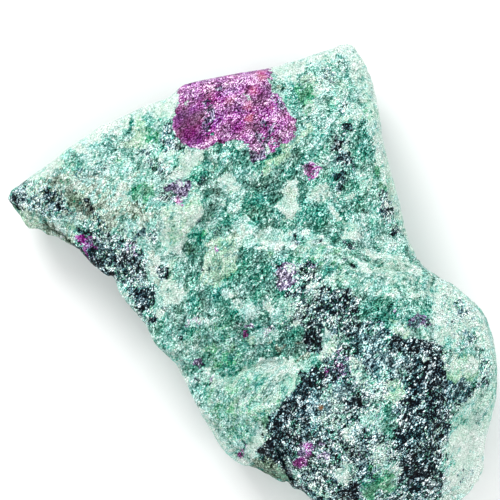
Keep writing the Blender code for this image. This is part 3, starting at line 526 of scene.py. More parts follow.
    ("lavender", 0.90, 3, 3, ("area", [(276, 266), (290, 263), (299, 268), (298, 280), (288, 290), (278, 284)])),
    ("smooth white", 0.55, 3, 2, ("spot", (292, 268, 6, 4))),
    ("dark lavender", 0.65, 3, 3, ("spot", (288, 276, 4, 4))),
    ("dark lavender", 0.50, 3, 3, ("spot", (313, 268, 5, 4))),
    ("black", 0.75, 2, 2, ("spot", (294, 295, 8, 3))),
    ("black", 0.60, 2, 2, ("spot", (304, 269, 3, 3))),
    ("white", 0.75, 3, 3, ("spot", (312, 286, 6, 4))),
    ("white", 0.50, 3, 3, ("spot", (331, 281, 7, 4))),
    ("hornblende", 0.90, 4, 4, ("area", [(320, 290), (334, 286), (348, 290), (358, 298), (360, 308), (350, 318), (336, 316), (326, 320), (318, 330), (306, 334), (298, 326), (306, 312), (316, 302)])),
    ("black", 0.80, 3, 3, ("area", [(328, 292), (344, 292), (354, 300), (346, 310), (334, 308), (328, 302)])),
    ("pepper", 0.80, 4, 4, ("area", [(294, 302), (308, 298), (318, 304), (312, 320), (302, 328), (292, 318)])),
    ("mint", 0.60, 3, 3, ("area", [(290, 302), (300, 300), (298, 310), (290, 314)])),
    ("smooth white", 0.80, 2, 2, ("spot", (297, 324, 4, 3, -20))),
    ("smooth white", 0.60, 2, 2, ("spot", (333, 318, 5, 3, 10))),
    ("black", 0.92, 3, 3, ("area", [(306, 330), (318, 330), (323, 340), (318, 352), (308, 352), (304, 342)])),
    ("olive dark", 0.75, 4, 4, ("area", [(292, 344), (306, 346), (312, 356), (300, 360), (290, 354)])),
    ("black", 0.70, 2, 2, ("spot", (344, 326, 8, 5, -20))),
    ("smooth pale", 0.92, 2, 2, ("area", [(323, 322), (330, 328), (336, 336), (340, 345), (334, 354), (326, 358), (316, 360), (320, 350), (328, 342), (325, 332)])),
    ("pale lime", 0.60, 2, 2, ("spot", (331, 344, 5, 8, 20))),
    ("deep", 0.90, 4, 4, ("area", [(360, 300), (376, 300), (394, 304), (396, 316), (384, 324), (366, 322), (358, 312)])),
    ("green", 0.70, 4, 4, ("area", [(396, 296), (420, 298), (438, 304), (432, 312), (410, 308)])),
    ("lavender", 0.75, 2, 2, ("spot", (396, 312, 4.5, 4))),
    ("deep ruby", 0.60, 2, 2, ("spot", (396, 312, 2.5, 2.5))),
    ("dark lavender", 0.85, 3, 3, ("spot", (420, 322, 11, 6, 5))),
    ("pink", 0.35, 2, 2, ("spot", (419, 324, 6, 3))),
    ("pale lime", 0.85, 3, 3, ("area", [(392, 320), (402, 318), (410, 326), (410, 336), (398, 336), (394, 328)])),
    ("lime", 0.45, 3, 3, ("spot", (404, 332, 6, 3))),
    # slate ground of the crown
    ("slate", 0.92, 5, 4, ("area", [(346, 338), (362, 334), (384, 336), (402, 344), (406, 360), (398, 376), (378, 382), (362, 372), (352, 356)])),
    ("hornblende", 0.90, 4, 4, ("vein", [6, (338, 324), (350, 330), (364, 328), (380, 330), (394, 336), (408, 344)])),
    ("deep", 0.60, 4, 4, ("spot", (368, 330, 10, 6))),
    ("hornblende", 0.95, 4, 4, ("area", [(406, 338), (420, 336), (432, 344), (440, 352), (438, 366), (424, 372), (412, 366), (406, 352)])),
    ("smooth white", 0.60, 2, 2, ("spot", (424, 360, 4, 3))),
    ("white", 0.55, 3, 3, ("area", [(398, 362), (412, 366), (414, 378), (404, 386), (396, 376)])),
    ("white", 0.55, 3, 3, ("spot", (400, 352, 6, 3, 20))),
    ("dark lavender", 0.90, 2, 2.5, ("area", [(333, 354), (344, 350), (349, 358), (348, 370), (342, 374), (336, 364)])),
    ("pink", 0.62, 1.5, 1.5, ("spot", (338, 363, 2.2, 3, 30))),
    ("ruby", 0.75, 2, 2, ("spot", (326, 374, 4, 6, 10))),
    ("lavender", 0.70, 3, 3, ("spot", (334, 374, 5, 6))),
    ("smooth white", 0.92, 2, 1.5, ("area", [(349, 357), (358, 362), (364, 370), (370, 378), (362, 382), (354, 377), (349, 370)])),
    ("smooth mint", 0.60, 3, 2, ("spot", (358, 379, 7, 4, 20))),
    ("slate", 0.80, 4, 4, ("area", [(330, 380), (350, 380), (360, 390), (352, 402), (334, 400), (324, 392)])),
    ("hornblende", 0.80, 4, 4, ("area", [(334, 400), (350, 396), (362, 402), (364, 416), (350, 424), (336, 418)])),
    ("white", 0.80, 3, 3, ("area", [(366, 384), (382, 380), (392, 388), (388, 396), (376, 398), (366, 392)])),
    ("pale lime", 0.85, 3, 3, ("area", [(388, 384), (400, 382), (406, 392), (402, 402), (392, 400)])),
    ("lime", 0.45, 3, 3, ("spot", (397, 397, 5, 4))),
    ("black", 0.95, 4, 4, ("area", [(412, 372), (424, 366), (438, 366), (450, 378), (450, 394), (444, 406), (430, 416), (414, 414), (408, 400), (410, 386)])),
    ("hornblende", 0.90, 5, 5, ("area", [(398, 408), (416, 412), (436, 412), (448, 408), (450, 430), (448, 462), (440, 476), (416, 474), (402, 462), (396, 440), (396, 424)])),
    ("black", 0.70, 4, 4, ("area", [(408, 428), (424, 424), (430, 442), (426, 462), (410, 462), (404, 446)])),
    ("black", 0.55, 3, 3, ("spot", (440, 440, 7, 10))),
    ("smooth white", 0.85, 2, 1.5, ("spot", (415, 467, 4, 3))),
    ("white", 0.50, 3, 3, ("spot", (428, 432, 6, 4, 30))),
    ("white", 0.55, 3, 3, ("spot", (424, 404, 5, 3, -30))),
    ("pepper", 0.90, 5, 5, ("area", [(402, 468), (420, 472), (446, 470), (446, 492), (430, 508), (404, 506), (398, 486)])),
    ("slate", 0.60, 4, 4, ("spot", (434, 484, 8, 6))),
    ("white", 0.80, 4, 4, ("area", [(356, 412), (370, 406), (384, 410), (386, 424), (374, 430), (360, 426)])),
    ("pink", 0.45, 2, 1.5, ("spot", (379, 418, 2.5, 2.5))),
    ("leaf", 0.70, 4, 4, ("area", [(384, 404), (396, 404), (400, 416), (392, 430), (384, 434), (378, 428)])),
    ("pepper", 0.90, 4, 4, ("area", [(344, 430), (362, 428), (376, 434), (376, 454), (360, 462), (344, 456)])),
    ("lavender", 0.35, 3, 3, ("spot", (362, 450, 8, 8))),
    ("smooth pale", 0.75, 3, 3, ("spot", (349, 434, 6, 4))),
    ("leaf", 0.90, 4, 4, ("area", [(368, 452), (378, 440), (386, 446), (388, 462), (384, 478), (376, 500), (366, 506), (360, 490), (366, 470)])),
    ("black", 0.75, 3, 3, ("vein", [4, (352, 458), (358, 464), (364, 472)])),
    ("smooth pale", 0.85, 3, 3, ("area", [(334, 466), (346, 462), (356, 468), (356, 480), (344, 484), (334, 478)])),
    ("pepper", 0.80, 4, 4, ("area", [(330, 486), (350, 486), (364, 494), (360, 520), (336, 516)])),
    ("mint", 0.80, 4, 4, ("area", [(386, 462), (398, 464), (400, 480), (394, 494), (382, 496), (382, 478)])),
    ("lime", 0.65, 4, 4, ("spot", (386, 488, 8, 6))),
    ("mint", 0.60, 5, 5, ("area", [(366, 506), (400, 508), (430, 510), (410, 530), (376, 534)])),
    # right rim
    ("white", 0.80, 5, 5, ("area", [(438, 306), (462, 300), (482, 312), (492, 336), (492, 352), (474, 348), (456, 344), (442, 330)])),
    ("pale lime", 0.75, 4, 4, ("area", [(440, 358), (456, 352), (472, 356), (478, 368), (466, 380), (450, 380), (440, 372)])),
    ("mint", 0.55, 4, 4, ("area", [(478, 350), (494, 348), (496, 378), (484, 380)])),
    ("pepper", 0.80, 3, 3, ("area", [(452, 382), (464, 380), (474, 386), (484, 378), (488, 388), (480, 400), (466, 400), (454, 398)])),
    ("pepper", 0.45, 3, 3, ("area", [(472, 362), (486, 358), (492, 372), (484, 380), (474, 376)])),
    ("pepper", 0.45, 3, 3, ("spot", (462, 370, 7, 4))),
    ("beige", 0.60, 2, 2, ("spot", (472, 361, 4, 3))),
    ("black", 0.60, 2, 2, ("spot", (457, 357, 1.6, 1.6))),
    ("black", 0.60, 1.5, 1, ("spot", (450, 377, 1.6, 1.6))),
    ("smooth mint", 0.70, 4, 3, ("area", [(452, 402), (462, 404), (478, 402), (484, 412), (474, 424), (460, 428), (450, 420)])),
    ("smooth white", 0.85, 5, 3, ("area", [(462, 424), (478, 420), (492, 408), (490, 430), (484, 452), (482, 468), (468, 470), (456, 462), (452, 444)])),
    ("smooth white", 0.90, 5, 3, ("area", [(478, 404), (496, 396), (494, 416), (484, 424)])),
    ("mint", 0.60, 4, 4, ("area", [(448, 400), (456, 404), (452, 430), (448, 428)])),
    ("black", 0.75, 1.5, 1.5, ("spot", (459, 425, 2, 2.4))),
    ("black", 0.65, 2, 1.5, ("spot", (451, 440, 3, 2))),
    ("pale lime", 0.60, 4, 3, ("spot", (462, 446, 8, 6))),
    ("white", 0.85, 5, 4, ("area", [(450, 466), (468, 470), (482, 468), (478, 484), (462, 498), (446, 506), (442, 488)])),
    ("pepper", 0.40, 3, 3, ("spot", (462, 476, 10, 8))),
    # pale band and the mint ground below it
    ("smooth white", 0.92, 2, 3, ("area", [(243, 366), (250, 366), (260, 360), (270, 362), (286, 358), (294, 365), (296, 372), (280, 374), (262, 376), (246, 378), (232, 378)])),
    ("smooth pale", 0.90, 4, 3, ("area", [(246, 378), (262, 374), (284, 372), (296, 374), (297, 382), (286, 396), (276, 404), (262, 400), (250, 394), (238, 386)])),
    ("smooth mint", 0.60, 5, 4, ("area", [(218, 380), (236, 376), (250, 384), (256, 396), (240, 398), (222, 392)])),
    ("green", 0.70, 4, 4, ("area", [(192, 384), (202, 386), (206, 396), (200, 402), (193, 394)])),
    ("white", 0.65, 3, 3, ("area", [(206, 376), (218, 372), (222, 380), (212, 384), (206, 382)])),
    ("lavender", 0.50, 2, 2, ("spot", (211, 377, 5, 3, 30))),
    ("black", 0.80, 1.5, 1.5, ("vein", [1.2, (205, 384), (209, 383), (213, 384)])),
    ("black", 0.70, 1.5, 1.5, ("spot", (197, 380, 2.5, 1.5, 20))),
    ("green", 0.85, 3, 3, ("area", [(219, 408), (230, 405), (240, 410), (238, 420), (226, 420), (219, 414)])),
    ("green", 0.90, 3, 3, ("area", [(236, 422), (246, 420), (250, 428), (244, 436), (232, 434)])),
    ("leaf", 0.60, 3, 3, ("area", [(246, 398), (256, 396), (262, 402), (256, 408), (248, 404)])),
    ("deep", 0.60, 2, 2, ("spot", (257, 402, 4, 3))),
    ("deep", 0.55, 3, 3, ("spot", (225, 434, 4, 4))),
    ("pale lime", 0.85, 2.5, 2, ("area", [(260, 402), (268, 400), (273, 406), (270, 414), (262, 416), (258, 410)])),
    ("smooth pale", 0.80, 4, 3, ("area", [(250, 426), (258, 418), (264, 420), (262, 436), (256, 450), (252, 460), (246, 452), (250, 440)])),
    ("leaf", 0.55, 3, 3, ("spot", (267, 424, 4, 6, 20))),
    ("smooth white", 0.65, 4, 3, ("vein", [4, (200, 412), (212, 432), (226, 452), (242, 462)])),
    ("mint", 0.50, 4, 4, ("spot", (234, 444, 10, 6, 30))),
    ("black", 0.80, 1.0, 0.5, ("vein", [0.8, (238, 438), (242.5, 441.5), (246.5, 445)])),
    ("dark lavender", 0.70, 1.5, 1, ("vein", [1.2, (246, 446), (243, 451)])),
    ("ruby", 0.70, 1.5, 1.5, ("spot", (242, 453.5, 3, 3))),
    ("deep", 0.70, 1.5, 1.5, ("vein", [1.5, (245, 455), (249, 459)])),
    # dark diagonal band
    ("black", 0.97, 2.5, 3.5, ("area", [(300, 374), (312, 372), (318, 384), (312, 394), (298, 407), (298, 417), (292, 427), (289, 438), (272, 446), (267, 455), (256, 460), (260, 440), (270, 425), (272, 413), (286, 402), (294, 396), (299, 388)])),
    ("hornblende", 0.50, 4, 4, ("area", [(300, 376), (314, 376), (310, 392), (298, 400), (296, 392)])),
    ("white", 0.85, 2, 2, ("area", [(290, 421), (296, 422), (298, 432), (292, 436), (289, 428)])),
    ("smooth white", 0.70, 1.5, 1.5, ("spot", (294, 411, 3, 2, 20))),
    ("slate", 0.85, 4, 4, ("area", [(300, 404), (314, 396), (330, 396), (334, 410), (330, 424), (314, 430), (300, 428), (298, 414)])),
    ("smooth pale", 0.75, 2, 2, ("area", [(315, 418), (324, 412), (329, 416), (322, 424), (315, 425)])),
    ("pepper", 0.60, 3, 3, ("spot", (310, 402, 7, 5))),
    ("olive dark", 0.60, 2, 1.5, ("spot", (321, 408, 3, 3))),
    ("pepper", 0.90, 4, 4, ("area", [(280, 440), (300, 432), (326, 432), (340, 440), (340, 464), (326, 484), (308, 484), (292, 474), (278, 456)])),
    ("slate", 0.70, 3, 3, ("vein", [4, (304, 436), (318, 432), (332, 428)])),
    ("slate", 0.60, 3, 3, ("spot", (288, 452, 7, 5))),
    ("leaf", 0.45, 3, 3, ("spot", (285, 453, 3, 3))),
    ("ruby", 0.74, 2, 2.5, ("area", [(303, 446), (309, 443), (317, 444), (313, 452), (308, 459), (302, 464), (298, 470), (292, 466), (297, 456)])),
    ("deep ruby", 0.70, 2, 2, ("spot", (298, 462, 5, 4, -50))),
    ("pink", 0.66, 1.5, 1.5, ("spot", (306, 450, 4, 3, -40))),
    ("lavender", 0.70, 3, 3, ("spot", (321, 457, 7, 4, -15))),
    ("dark lavender", 0.50, 2, 2, ("spot", (320, 445, 4, 3))),
    ("mint", 0.70, 3, 3, ("vein", [3, (280, 456), (288, 468), (298, 480), (312, 488), (324, 500)])),
    # shaded slope
    ("white", 0.75, 3, 3, ("area", [(221, 291), (230, 288), (235, 292), (232, 298), (222, 298)])),
    ("white", 0.75, 3, 3, ("area", [(240, 305), (250, 304), (252, 314), (246, 322), (240, 314)])),
    ("white", 0.70, 3, 3, ("area", [(262, 298), (271, 300), (272, 312), (266, 318), (262, 308)])),
    ("mint", 0.60, 4, 4, ("area", [(266, 302), (288, 300), (300, 306), (296, 316), (276, 316)])),
    ("lavender", 0.45, 3, 3, ("spot", (269, 332, 6, 5))),
    ("slate", 0.55, 4, 4, ("spot", (282, 326, 14, 8))),
    ("deep", 0.80, 3, 3, ("spot", (261, 316, 7, 5))),
    ("lavender", 0.50, 3, 3, ("spot", (193, 323, 9, 5))),
    ("white", 0.50, 3, 3, ("spot", (194, 323, 7, 4))),
    ("green", 0.60, 4, 4, ("area", [(154, 318), (172, 314), (178, 330), (172, 346), (160, 344), (152, 332)])),
    ("green", 0.70, 4, 4, ("area", [(164, 306), (182, 302), (196, 306), (204, 318), (190, 316), (174, 314)])),
    ("deep", 0.75, 1.5, 2, ("vein", [1.6, (166, 308), (174, 307), (182, 304)])),
    ("black", 0.85, 2, 1.5, ("spot", (181, 337, 2.6, 3.6, 20))),
    ("black", 0.75, 1.5, 1, ("spot", (198, 309, 1.6, 1.6))),
    ("black", 0.80, 1.5, 1.5, ("spot", (162.5, 310, 2, 2.4))),
    ("black", 0.85, 1.5, 1.5, ("spot", (153.5, 321, 3, 3, 30))),
    ("white", 0.60, 3, 3, ("spot", (157, 312, 5, 6))),
    ("mint", 0.50, 4, 4, ("area", [(162, 342), (180, 340), (190, 352), (196, 362), (186, 368), (174, 358)])),
    ("mint", 0.65, 3, 3, ("spot", (200, 352, 9, 5, 10))),
    ("dark lavender", 0.90, 2, 2, ("spot", (199, 363.5, 6, 4, 15))),
    ("pink", 0.30, 1.5, 1, ("spot", (199, 364, 2, 1.6))),
    ("white", 0.55, 3, 3, ("spot", (208, 372, 6, 4))),
    ("smooth pale", 0.80, 3, 3, ("vein", [3, (176, 364), (182, 374), (188, 386)])),
    ("deep ruby", 0.72, 1.5, 1.5, ("spot", (244.5, 333.5, 3.6, 3.6))),
    ("lavender", 0.65, 2, 2, ("spot", (249, 327, 5, 3))),
    ("pale lime", 0.80, 2, 2, ("spot", (253, 340, 5, 3.5, 20))),
    ("hornblende", 0.55, 3, 3, ("spot", (239, 324, 4, 4))),
    ("leaf", 0.55, 4, 4, ("area", [(206, 352), (222, 348), (240, 356), (232, 366), (216, 364)])),
    ("deep", 0.80, 4, 4, ("area", [(230, 352), (260, 344), (290, 346), (290, 356), (262, 362), (246, 366), (232, 362)])),
    ("olive dark", 0.40, 4, 4, ("area", [(264, 342), (286, 340), (292, 350), (276, 354)])),
    # notch under the brow at the front: its own dark olive facet, deepened as painted shade under the overhang, with
    # painted shadow in the crevice and along the rim
    ("olive dark", 0.95, 2, 2, ("area", [(271, 450), (279, 459), (287, 473), (289, 482), (280, 480), (270, 474), (252, 466), (251, 460), (265, 456)])),
    ("lime", 0.70, 2.5, 2, ("area", [(274, 462), (281, 464), (287, 474), (287, 481), (276, 476)])),
    # painted shadow: black spot under the brow
    ("black", 0.70, 2, 2, ("spot", (263, 460, 6, 3, 30))),
    # painted shadow: black line in the crevice under the brow
    ("black", 0.98, 1.5, 1.5, ("vein", [3, (272, 451), (279, 459), (286, 470), (292, 480), (300, 488), (310, 493), (320, 501)])),
    # painted shade: brown line along the rim where the surface curves under
    ("brown", 0.60, 1.5, 1, ("vein", [1.2, (250, 466), (264, 471), (278, 477), (288, 484)])),
    # second pass: lobe and its right side
    ("teal pepper", 0.80, 5, 5, ("area", [(404, 362), (418, 360), (416, 380), (408, 396), (400, 410), (392, 424), (388, 410), (398, 386)])),
    ("hornblende", 0.80, 4, 4, ("area", [(440, 362), (452, 366), (452, 384), (444, 400), (440, 420), (430, 440), (424, 430), (434, 404), (438, 384)])),
    ("black", 0.90, 2.5, 3, ("area", [(418, 362), (436, 362), (444, 372), (442, 392), (432, 402), (414, 400), (410, 384), (416, 372)])),
    ("black", 0.95, 2, 2, ("area", [(424, 382), (438, 380), (440, 392), (428, 400), (420, 396)])),
    ("teal pepper", 0.75, 4, 4, ("area", [(396, 404), (420, 402), (440, 404), (446, 416), (438, 428), (420, 424), (398, 430)])),
    ("black", 0.75, 3, 3, ("area", [(396, 426), (416, 424), (424, 436), (418, 452), (402, 456), (394, 440)])),
    ("pepper", 0.80, 4, 4, ("area", [(418, 436), (440, 424), (450, 410), (452, 430), (446, 446), (444, 470), (430, 490), (416, 490), (424, 460)])),
    ("black", 0.80, 3, 3, ("area", [(402, 460), (416, 456), (424, 468), (420, 490), (408, 494), (400, 480)])),
    ("slate", 0.80, 4, 4, ("area", [(450, 382), (468, 384), (474, 394), (462, 404), (448, 400)])),
    ("pepper", 0.60, 4, 4, ("area", [(448, 398), (464, 402), (458, 414), (448, 420), (444, 408)])),
    ("lime", 0.75, 3, 3, ("area", [(446, 372), (462, 370), (476, 374), (472, 382), (456, 382), (446, 380)])),
    ("mint", 0.80, 3, 3, ("area", [(384, 384), (394, 380), (402, 384), (400, 398), (392, 404), (386, 396)])),
    ("white", 0.60, 3, 3, ("area", [(366, 364), (378, 362), (388, 372), (384, 392), (374, 404), (366, 398), (372, 382)])),
    ("slate", 0.60, 3, 3, ("area", [(352, 364), (366, 362), (376, 372), (364, 384), (354, 378)])),
    ("deep", 0.70, 3, 3, ("area", [(384, 402), (394, 404), (396, 420), (392, 440), (382, 444), (378, 424)])),
    ("hornblende", 0.75, 3, 3, ("area", [(346, 396), (362, 392), (374, 398), (372, 412), (356, 418), (344, 410)])),
    ("white", 0.65, 2.5, 3, ("area", [(346, 430), (358, 426), (364, 436), (354, 444), (344, 440)])),
    ("pepper", 0.70, 3, 3, ("area", [(360, 436), (374, 434), (376, 450), (364, 456), (352, 452)])),
    ("mint", 0.65, 3, 3, ("area", [(334, 466), (346, 462), (356, 470), (350, 480), (336, 480)])),
    ("leaf", 0.65, 3, 3, ("area", [(370, 472), (384, 466), (398, 476), (394, 492), (376, 494), (368, 484)])),
    ("black", 0.80, 3, 3, ("area", [(338, 486), (356, 484), (362, 496), (350, 506), (336, 502)])),
    ("smooth mint", 0.85, 4, 4, ("area", [(476, 394), (494, 384), (494, 410), (486, 424), (468, 430), (456, 436), (458, 422), (466, 406)])),
    ("cream", 0.85, 4, 4, ("area", [(454, 430), (468, 424), (490, 420), (492, 436), (490, 452), (480, 464), (456, 466), (450, 448)])),
    ("smooth white", 0.80, 4, 3, ("area", [(450, 466), (482, 462), (480, 476), (468, 488), (450, 490)])),
    ("black", 0.80, 1, 0.5, ("spot", (458, 475, 1.0, 1.2))),
    ("black", 0.80, 1, 0.5, ("spot", (463, 470, 0.9, 1.1))),
    ("black", 0.80, 1, 0.5, ("spot", (467, 477, 1.1, 0.9))),
    ("black", 0.70, 1, 0.5, ("spot", (461, 481, 1.0, 1.0))),
    ("black", 0.70, 1, 0.5, ("spot", (470, 471, 0.9, 0.9))),
    ("mint", 0.70, 3, 3, ("area", [(442, 440), (452, 438), (454, 452), (450, 470), (442, 474), (440, 456)])),
    # second pass: right rim beside the crown
    ("grey mint", 0.70, 5, 4, ("area", [(430, 292), (452, 292), (476, 306), (492, 330), (497, 352), (488, 352), (470, 342), (450, 338), (434, 318)])),
    ("smooth white", 0.60, 3, 3, ("area", [(430, 296), (440, 295), (442, 305), (433, 308)])),
    ("slate", 0.65, 2, 2.5, ("area", [(452, 302), (462, 300), (465, 312), (456, 318)])),
    ("slate", 0.55, 2, 2.5, ("area", [(456, 332), (474, 330), (480, 342), (466, 348)])),
    ("smooth mint", 0.60, 4, 3, ("area", [(374, 266), (390, 264), (406, 274), (402, 288), (386, 286), (374, 278)])),
    ("deep", 0.65, 3, 3, ("area", [(366, 298), (378, 296), (386, 306), (378, 316), (366, 312)])),
    ("mint", 0.75, 3, 3, ("area", [(392, 322), (402, 320), (408, 330), (400, 336), (392, 332)])),
    ("smooth pale", 0.60, 3, 3, ("area", [(428, 322), (442, 320), (452, 330), (444, 340), (430, 338)])),
    ("cream", 0.55, 2.5, 2, ("area", [(468, 357), (476, 358), (478, 366), (470, 368)])),
    ("hornblende", 0.60, 3, 3, ("area", [(412, 374), (428, 372), (440, 378), (438, 388), (420, 388)])),
    # second pass: lower left band
    ("smooth mint", 0.75, 4, 3, ("area", [(222, 376), (250, 368), (280, 366), (298, 370), (292, 386), (272, 396), (244, 402), (226, 396)])),
    ("leaf", 0.45, 3, 3, ("area", [(236, 380), (256, 374), (272, 378), (262, 390), (242, 392)])),
    ("white", 0.85, 2, 2.5, ("vein", [2.6, (238, 371), (252, 367), (262, 363), (272, 360), (284, 362), (296, 366), (306, 361)])),
    ("smooth white", 0.70, 2.5, 3, ("area", [(226, 402), (240, 398), (256, 400), (270, 398), (268, 410), (252, 416), (234, 416)])),
    ("green", 0.65, 3, 3, ("area", [(214, 420), (228, 414), (244, 420), (246, 434), (232, 440), (216, 434)])),
    ("smooth pale", 0.65, 3, 3, ("area", [(248, 426), (262, 424), (270, 432), (264, 448), (252, 450)])),
    ("white", 0.75, 2, 2.5, ("area", [(288, 424), (298, 422), (302, 432), (296, 440), (288, 436)])),
    # second pass: shaded slope
    ("deep", 0.55, 4, 4, ("area", [(216, 328), (236, 324), (246, 334), (240, 350), (222, 350)])),
    ("deep", 0.50, 4, 4, ("area", [(242, 248), (262, 246), (276, 256), (272, 278), (256, 286), (242, 270)])),
    ("deep", 0.50, 3, 3, ("area", [(284, 246), (300, 246), (302, 258), (288, 262)])),
    ("white", 0.70, 2, 2.5, ("area", [(232, 304), (244, 302), (256, 308), (262, 316), (250, 320), (238, 314)])),
    ("white", 0.65, 2, 2.5, ("area", [(264, 308), (276, 304), (286, 312), (282, 324), (270, 322)])),
    ("white", 0.55, 2, 2.5, ("area", [(200, 320), (212, 318), (216, 326), (206, 330)])),
    ("white", 0.60, 2, 2.5, ("area", [(250, 332), (264, 328), (280, 332), (276, 342), (262, 344), (252, 340)])),
    ("white", 0.60, 2, 2.5, ("area", [(226, 296), (236, 294), (242, 304), (232, 310)])),
    # second pass: left edge
    ("pepper", 0.55, 3, 3, ("area", [(78, 224), (96, 218), (112, 230), (128, 242), (144, 250), (140, 262), (146, 278), (156, 288), (154, 298), (143, 316), (136, 310), (120, 288), (108, 270), (96, 246)])),
    ("black", 0.75, 2.5, 3, ("area", [(112, 256), (126, 254), (132, 264), (124, 272), (114, 268)])),
    ("black", 0.80, 2.5, 3, ("area", [(132, 290), (146, 286), (156, 294), (150, 308), (140, 312), (132, 302)])),
    ("hornblende", 0.65, 2.5, 3, ("area", [(96, 244), (106, 242), (114, 256), (110, 270), (100, 262)])),
    ("smooth white", 0.65, 2.5, 3, ("area", [(152, 258), (162, 258), (168, 272), (164, 290), (154, 284), (150, 268)])),
    ("mint", 0.70, 3, 3, ("area", [(122, 222), (138, 218), (142, 230), (130, 236), (122, 230)])),
    ("lavender", 0.45, 2.5, 2.5, ("area", [(126, 246), (136, 245), (138, 256), (128, 260)])),
    ("grey mint", 0.65, 3, 3, ("area", [(24, 186), (36, 182), (42, 190), (34, 198), (24, 196)])),
    ("olive dark", 0.55, 3, 3, ("area", [(66, 200), (82, 198), (86, 210), (74, 216), (66, 210)])),
    ("pale lime", 0.70, 2.5, 2.5, ("area", [(43, 175), (54, 172), (57, 179), (46, 182)])),
    ("smooth white", 0.50, 3, 3, ("area", [(110, 194), (124, 190), (130, 198), (120, 208), (112, 204)])),
    ("black", 0.80, 1.2, 1, ("spot", (16, 199, 2.0, 2.4))),
    ("black", 0.80, 1.2, 1, ("spot", (21, 205, 2.2, 1.8))),
    ("black", 0.80, 1.2, 1, ("spot", (25, 194, 1.6, 2.0))),
    # second pass: top right
    ("smooth pale", 0.65, 5, 4, ("area", [(346, 50), (362, 54), (376, 84), (384, 118), (388, 160), (396, 196), (388, 200), (376, 160), (366, 120), (352, 84)])),
    ("grey mint", 0.45, 5, 5, ("area", [(312, 66), (340, 60), (352, 84), (340, 104), (318, 98), (306, 80)])),
    ("white", 0.50, 2, 3, ("vein", [2.2, (300, 118), (312, 104), (322, 88)])),
    ("white", 0.50, 2, 3, ("vein", [2.2, (316, 138), (330, 120), (340, 104)])),
    ("white", 0.50, 2, 3, ("vein", [2.0, (340, 150), (350, 136), (358, 118)])),
    # third pass
    ("olive", 0.18, 6, 5, ("area", [(24, 196), (44, 176), (70, 166), (96, 172), (120, 190), (132, 214), (110, 232), (84, 228), (58, 216), (36, 208)])),
    ("dark lavender", 0.60, 2, 2, ("area", [(84, 250), (92, 248), (100, 258), (104, 268), (94, 266)])),
    ("smooth mint", 0.70, 4, 4, ("area", [(205, 385), (222, 376), (250, 368), (285, 368), (296, 376), (285, 392), (268, 405), (262, 425), (250, 445), (232, 440), (214, 415)])),
    ("white", 0.75, 2, 4, ("area", [(240, 371), (250, 362), (262, 358), (276, 358), (284, 364), (300, 362), (306, 368), (296, 372), (280, 374), (262, 372), (250, 376)])),
    ("mint", 0.60, 2.5, 4, ("area", [(226, 398), (244, 394), (262, 400), (256, 410), (236, 412)])),
    ("green", 0.60, 2.5, 4, ("area", [(212, 416), (230, 412), (248, 420), (242, 432), (220, 430)])),
    ("black", 0.60, 3, 4, ("area", [(312, 366), (322, 372), (318, 388), (300, 404), (288, 424), (276, 446), (262, 456), (256, 448), (268, 430), (276, 408), (292, 390), (304, 376)])),
    ("teal pepper", 0.60, 3, 3, ("area", [(290, 415), (310, 405), (330, 410), (340, 425), (325, 440), (305, 436), (292, 430)])),
    ("teal pepper", 0.50, 3, 3, ("area", [(318, 388), (336, 384), (352, 392), (346, 406), (328, 404)])),
    ("leaf", 0.60, 3, 3, ("area", [(186, 240), (203, 228), (206, 245), (198, 262), (188, 268)])),
    ("green", 0.50, 3, 3, ("area", [(186, 262), (200, 262), (203, 290), (188, 296)])),
    ("pale lime", 0.50, 4, 7, ("area", [(206, 250), (228, 244), (236, 256), (230, 272), (214, 282), (206, 270)])),
    ("mint", 0.45, 3, 4, ("area", [(206, 155), (222, 152), (228, 164), (214, 174), (205, 168)])),
    ("pepper", 0.60, 2, 2.5, ("spot", (456, 304, 6, 3.6, -30))),
    ("pepper", 0.55, 2, 2.5, ("spot", (464, 313, 6, 3.6, -30))),
    ("pepper", 0.55, 2, 2.5, ("spot", (450, 323, 4, 3))),
    ("pepper", 0.60, 2, 2.5, ("spot", (471, 337, 7, 4, -20))),
    ("pepper", 0.55, 2, 2.5, ("spot", (460, 346, 5, 3))),
    ("pepper", 0.60, 2, 2.5, ("spot", (479, 351, 6, 4, 20))),
    ("pepper", 0.60, 2, 2.5, ("spot", (485, 363, 5, 4))),
    ("pepper", 0.55, 2, 2.5, ("spot", (466, 366, 7, 3))),
    ("pepper", 0.50, 2, 2.5, ("spot", (447, 352, 5, 3))),
    ("dark lavender", 0.60, 2, 2, ("spot", (419, 322, 8, 4))),
    ("smooth pale", 0.60, 3, 3, ("area", [(444, 363), (470, 360), (478, 372), (462, 380), (446, 377)])),
    ("ruby", 0.60, 3, 3, ("area", [(228, 86), (255, 84), (262, 100), (240, 104), (226, 98)])),
    ("ruby", 0.50, 3, 3, ("area", [(186, 96), (200, 94), (204, 112), (190, 116)])),
    ("deep ruby", 0.50, 3, 3, ("area", [(176, 108), (192, 104), (200, 122), (192, 138), (178, 132)])),
    # fourth pass
    ("black", 0.75, 2, 3, ("area", [(86, 250), (92, 246), (98, 254), (106, 264), (104, 272), (96, 268), (88, 258)])),
    ("dark lavender", 0.45, 2, 2, ("spot", (85, 243, 9, 6, 40))),
    ("lavender", 0.45, 2, 3, ("spot", (309, 172, 7, 8))),
    ("dark lavender", 0.50, 2, 3, ("spot", (304, 450, 8, 10, 20))),
    ("slate", 0.40, 2, 3, ("spot", (418, 322, 10, 7))),
    ("slate", 0.35, 3, 3, ("spot", (395, 310, 8, 6))),
    ("teal pepper", 0.45, 3, 4, ("area", [(320, 352), (336, 350), (344, 366), (334, 380), (320, 376)])),
    ("beige", 0.45, 3, 3, ("area", [(20, 200), (34, 206), (46, 222), (60, 232), (52, 240), (34, 228), (22, 212)])),
    ("beige", 0.45, 2, 3, ("area", [(44, 224), (58, 230), (78, 236), (76, 244), (60, 242), (46, 234)])),
    ("teal pepper", 0.55, 4, 5, ("area", [(352, 430), (372, 424), (386, 440), (384, 470), (368, 488), (352, 476)])),
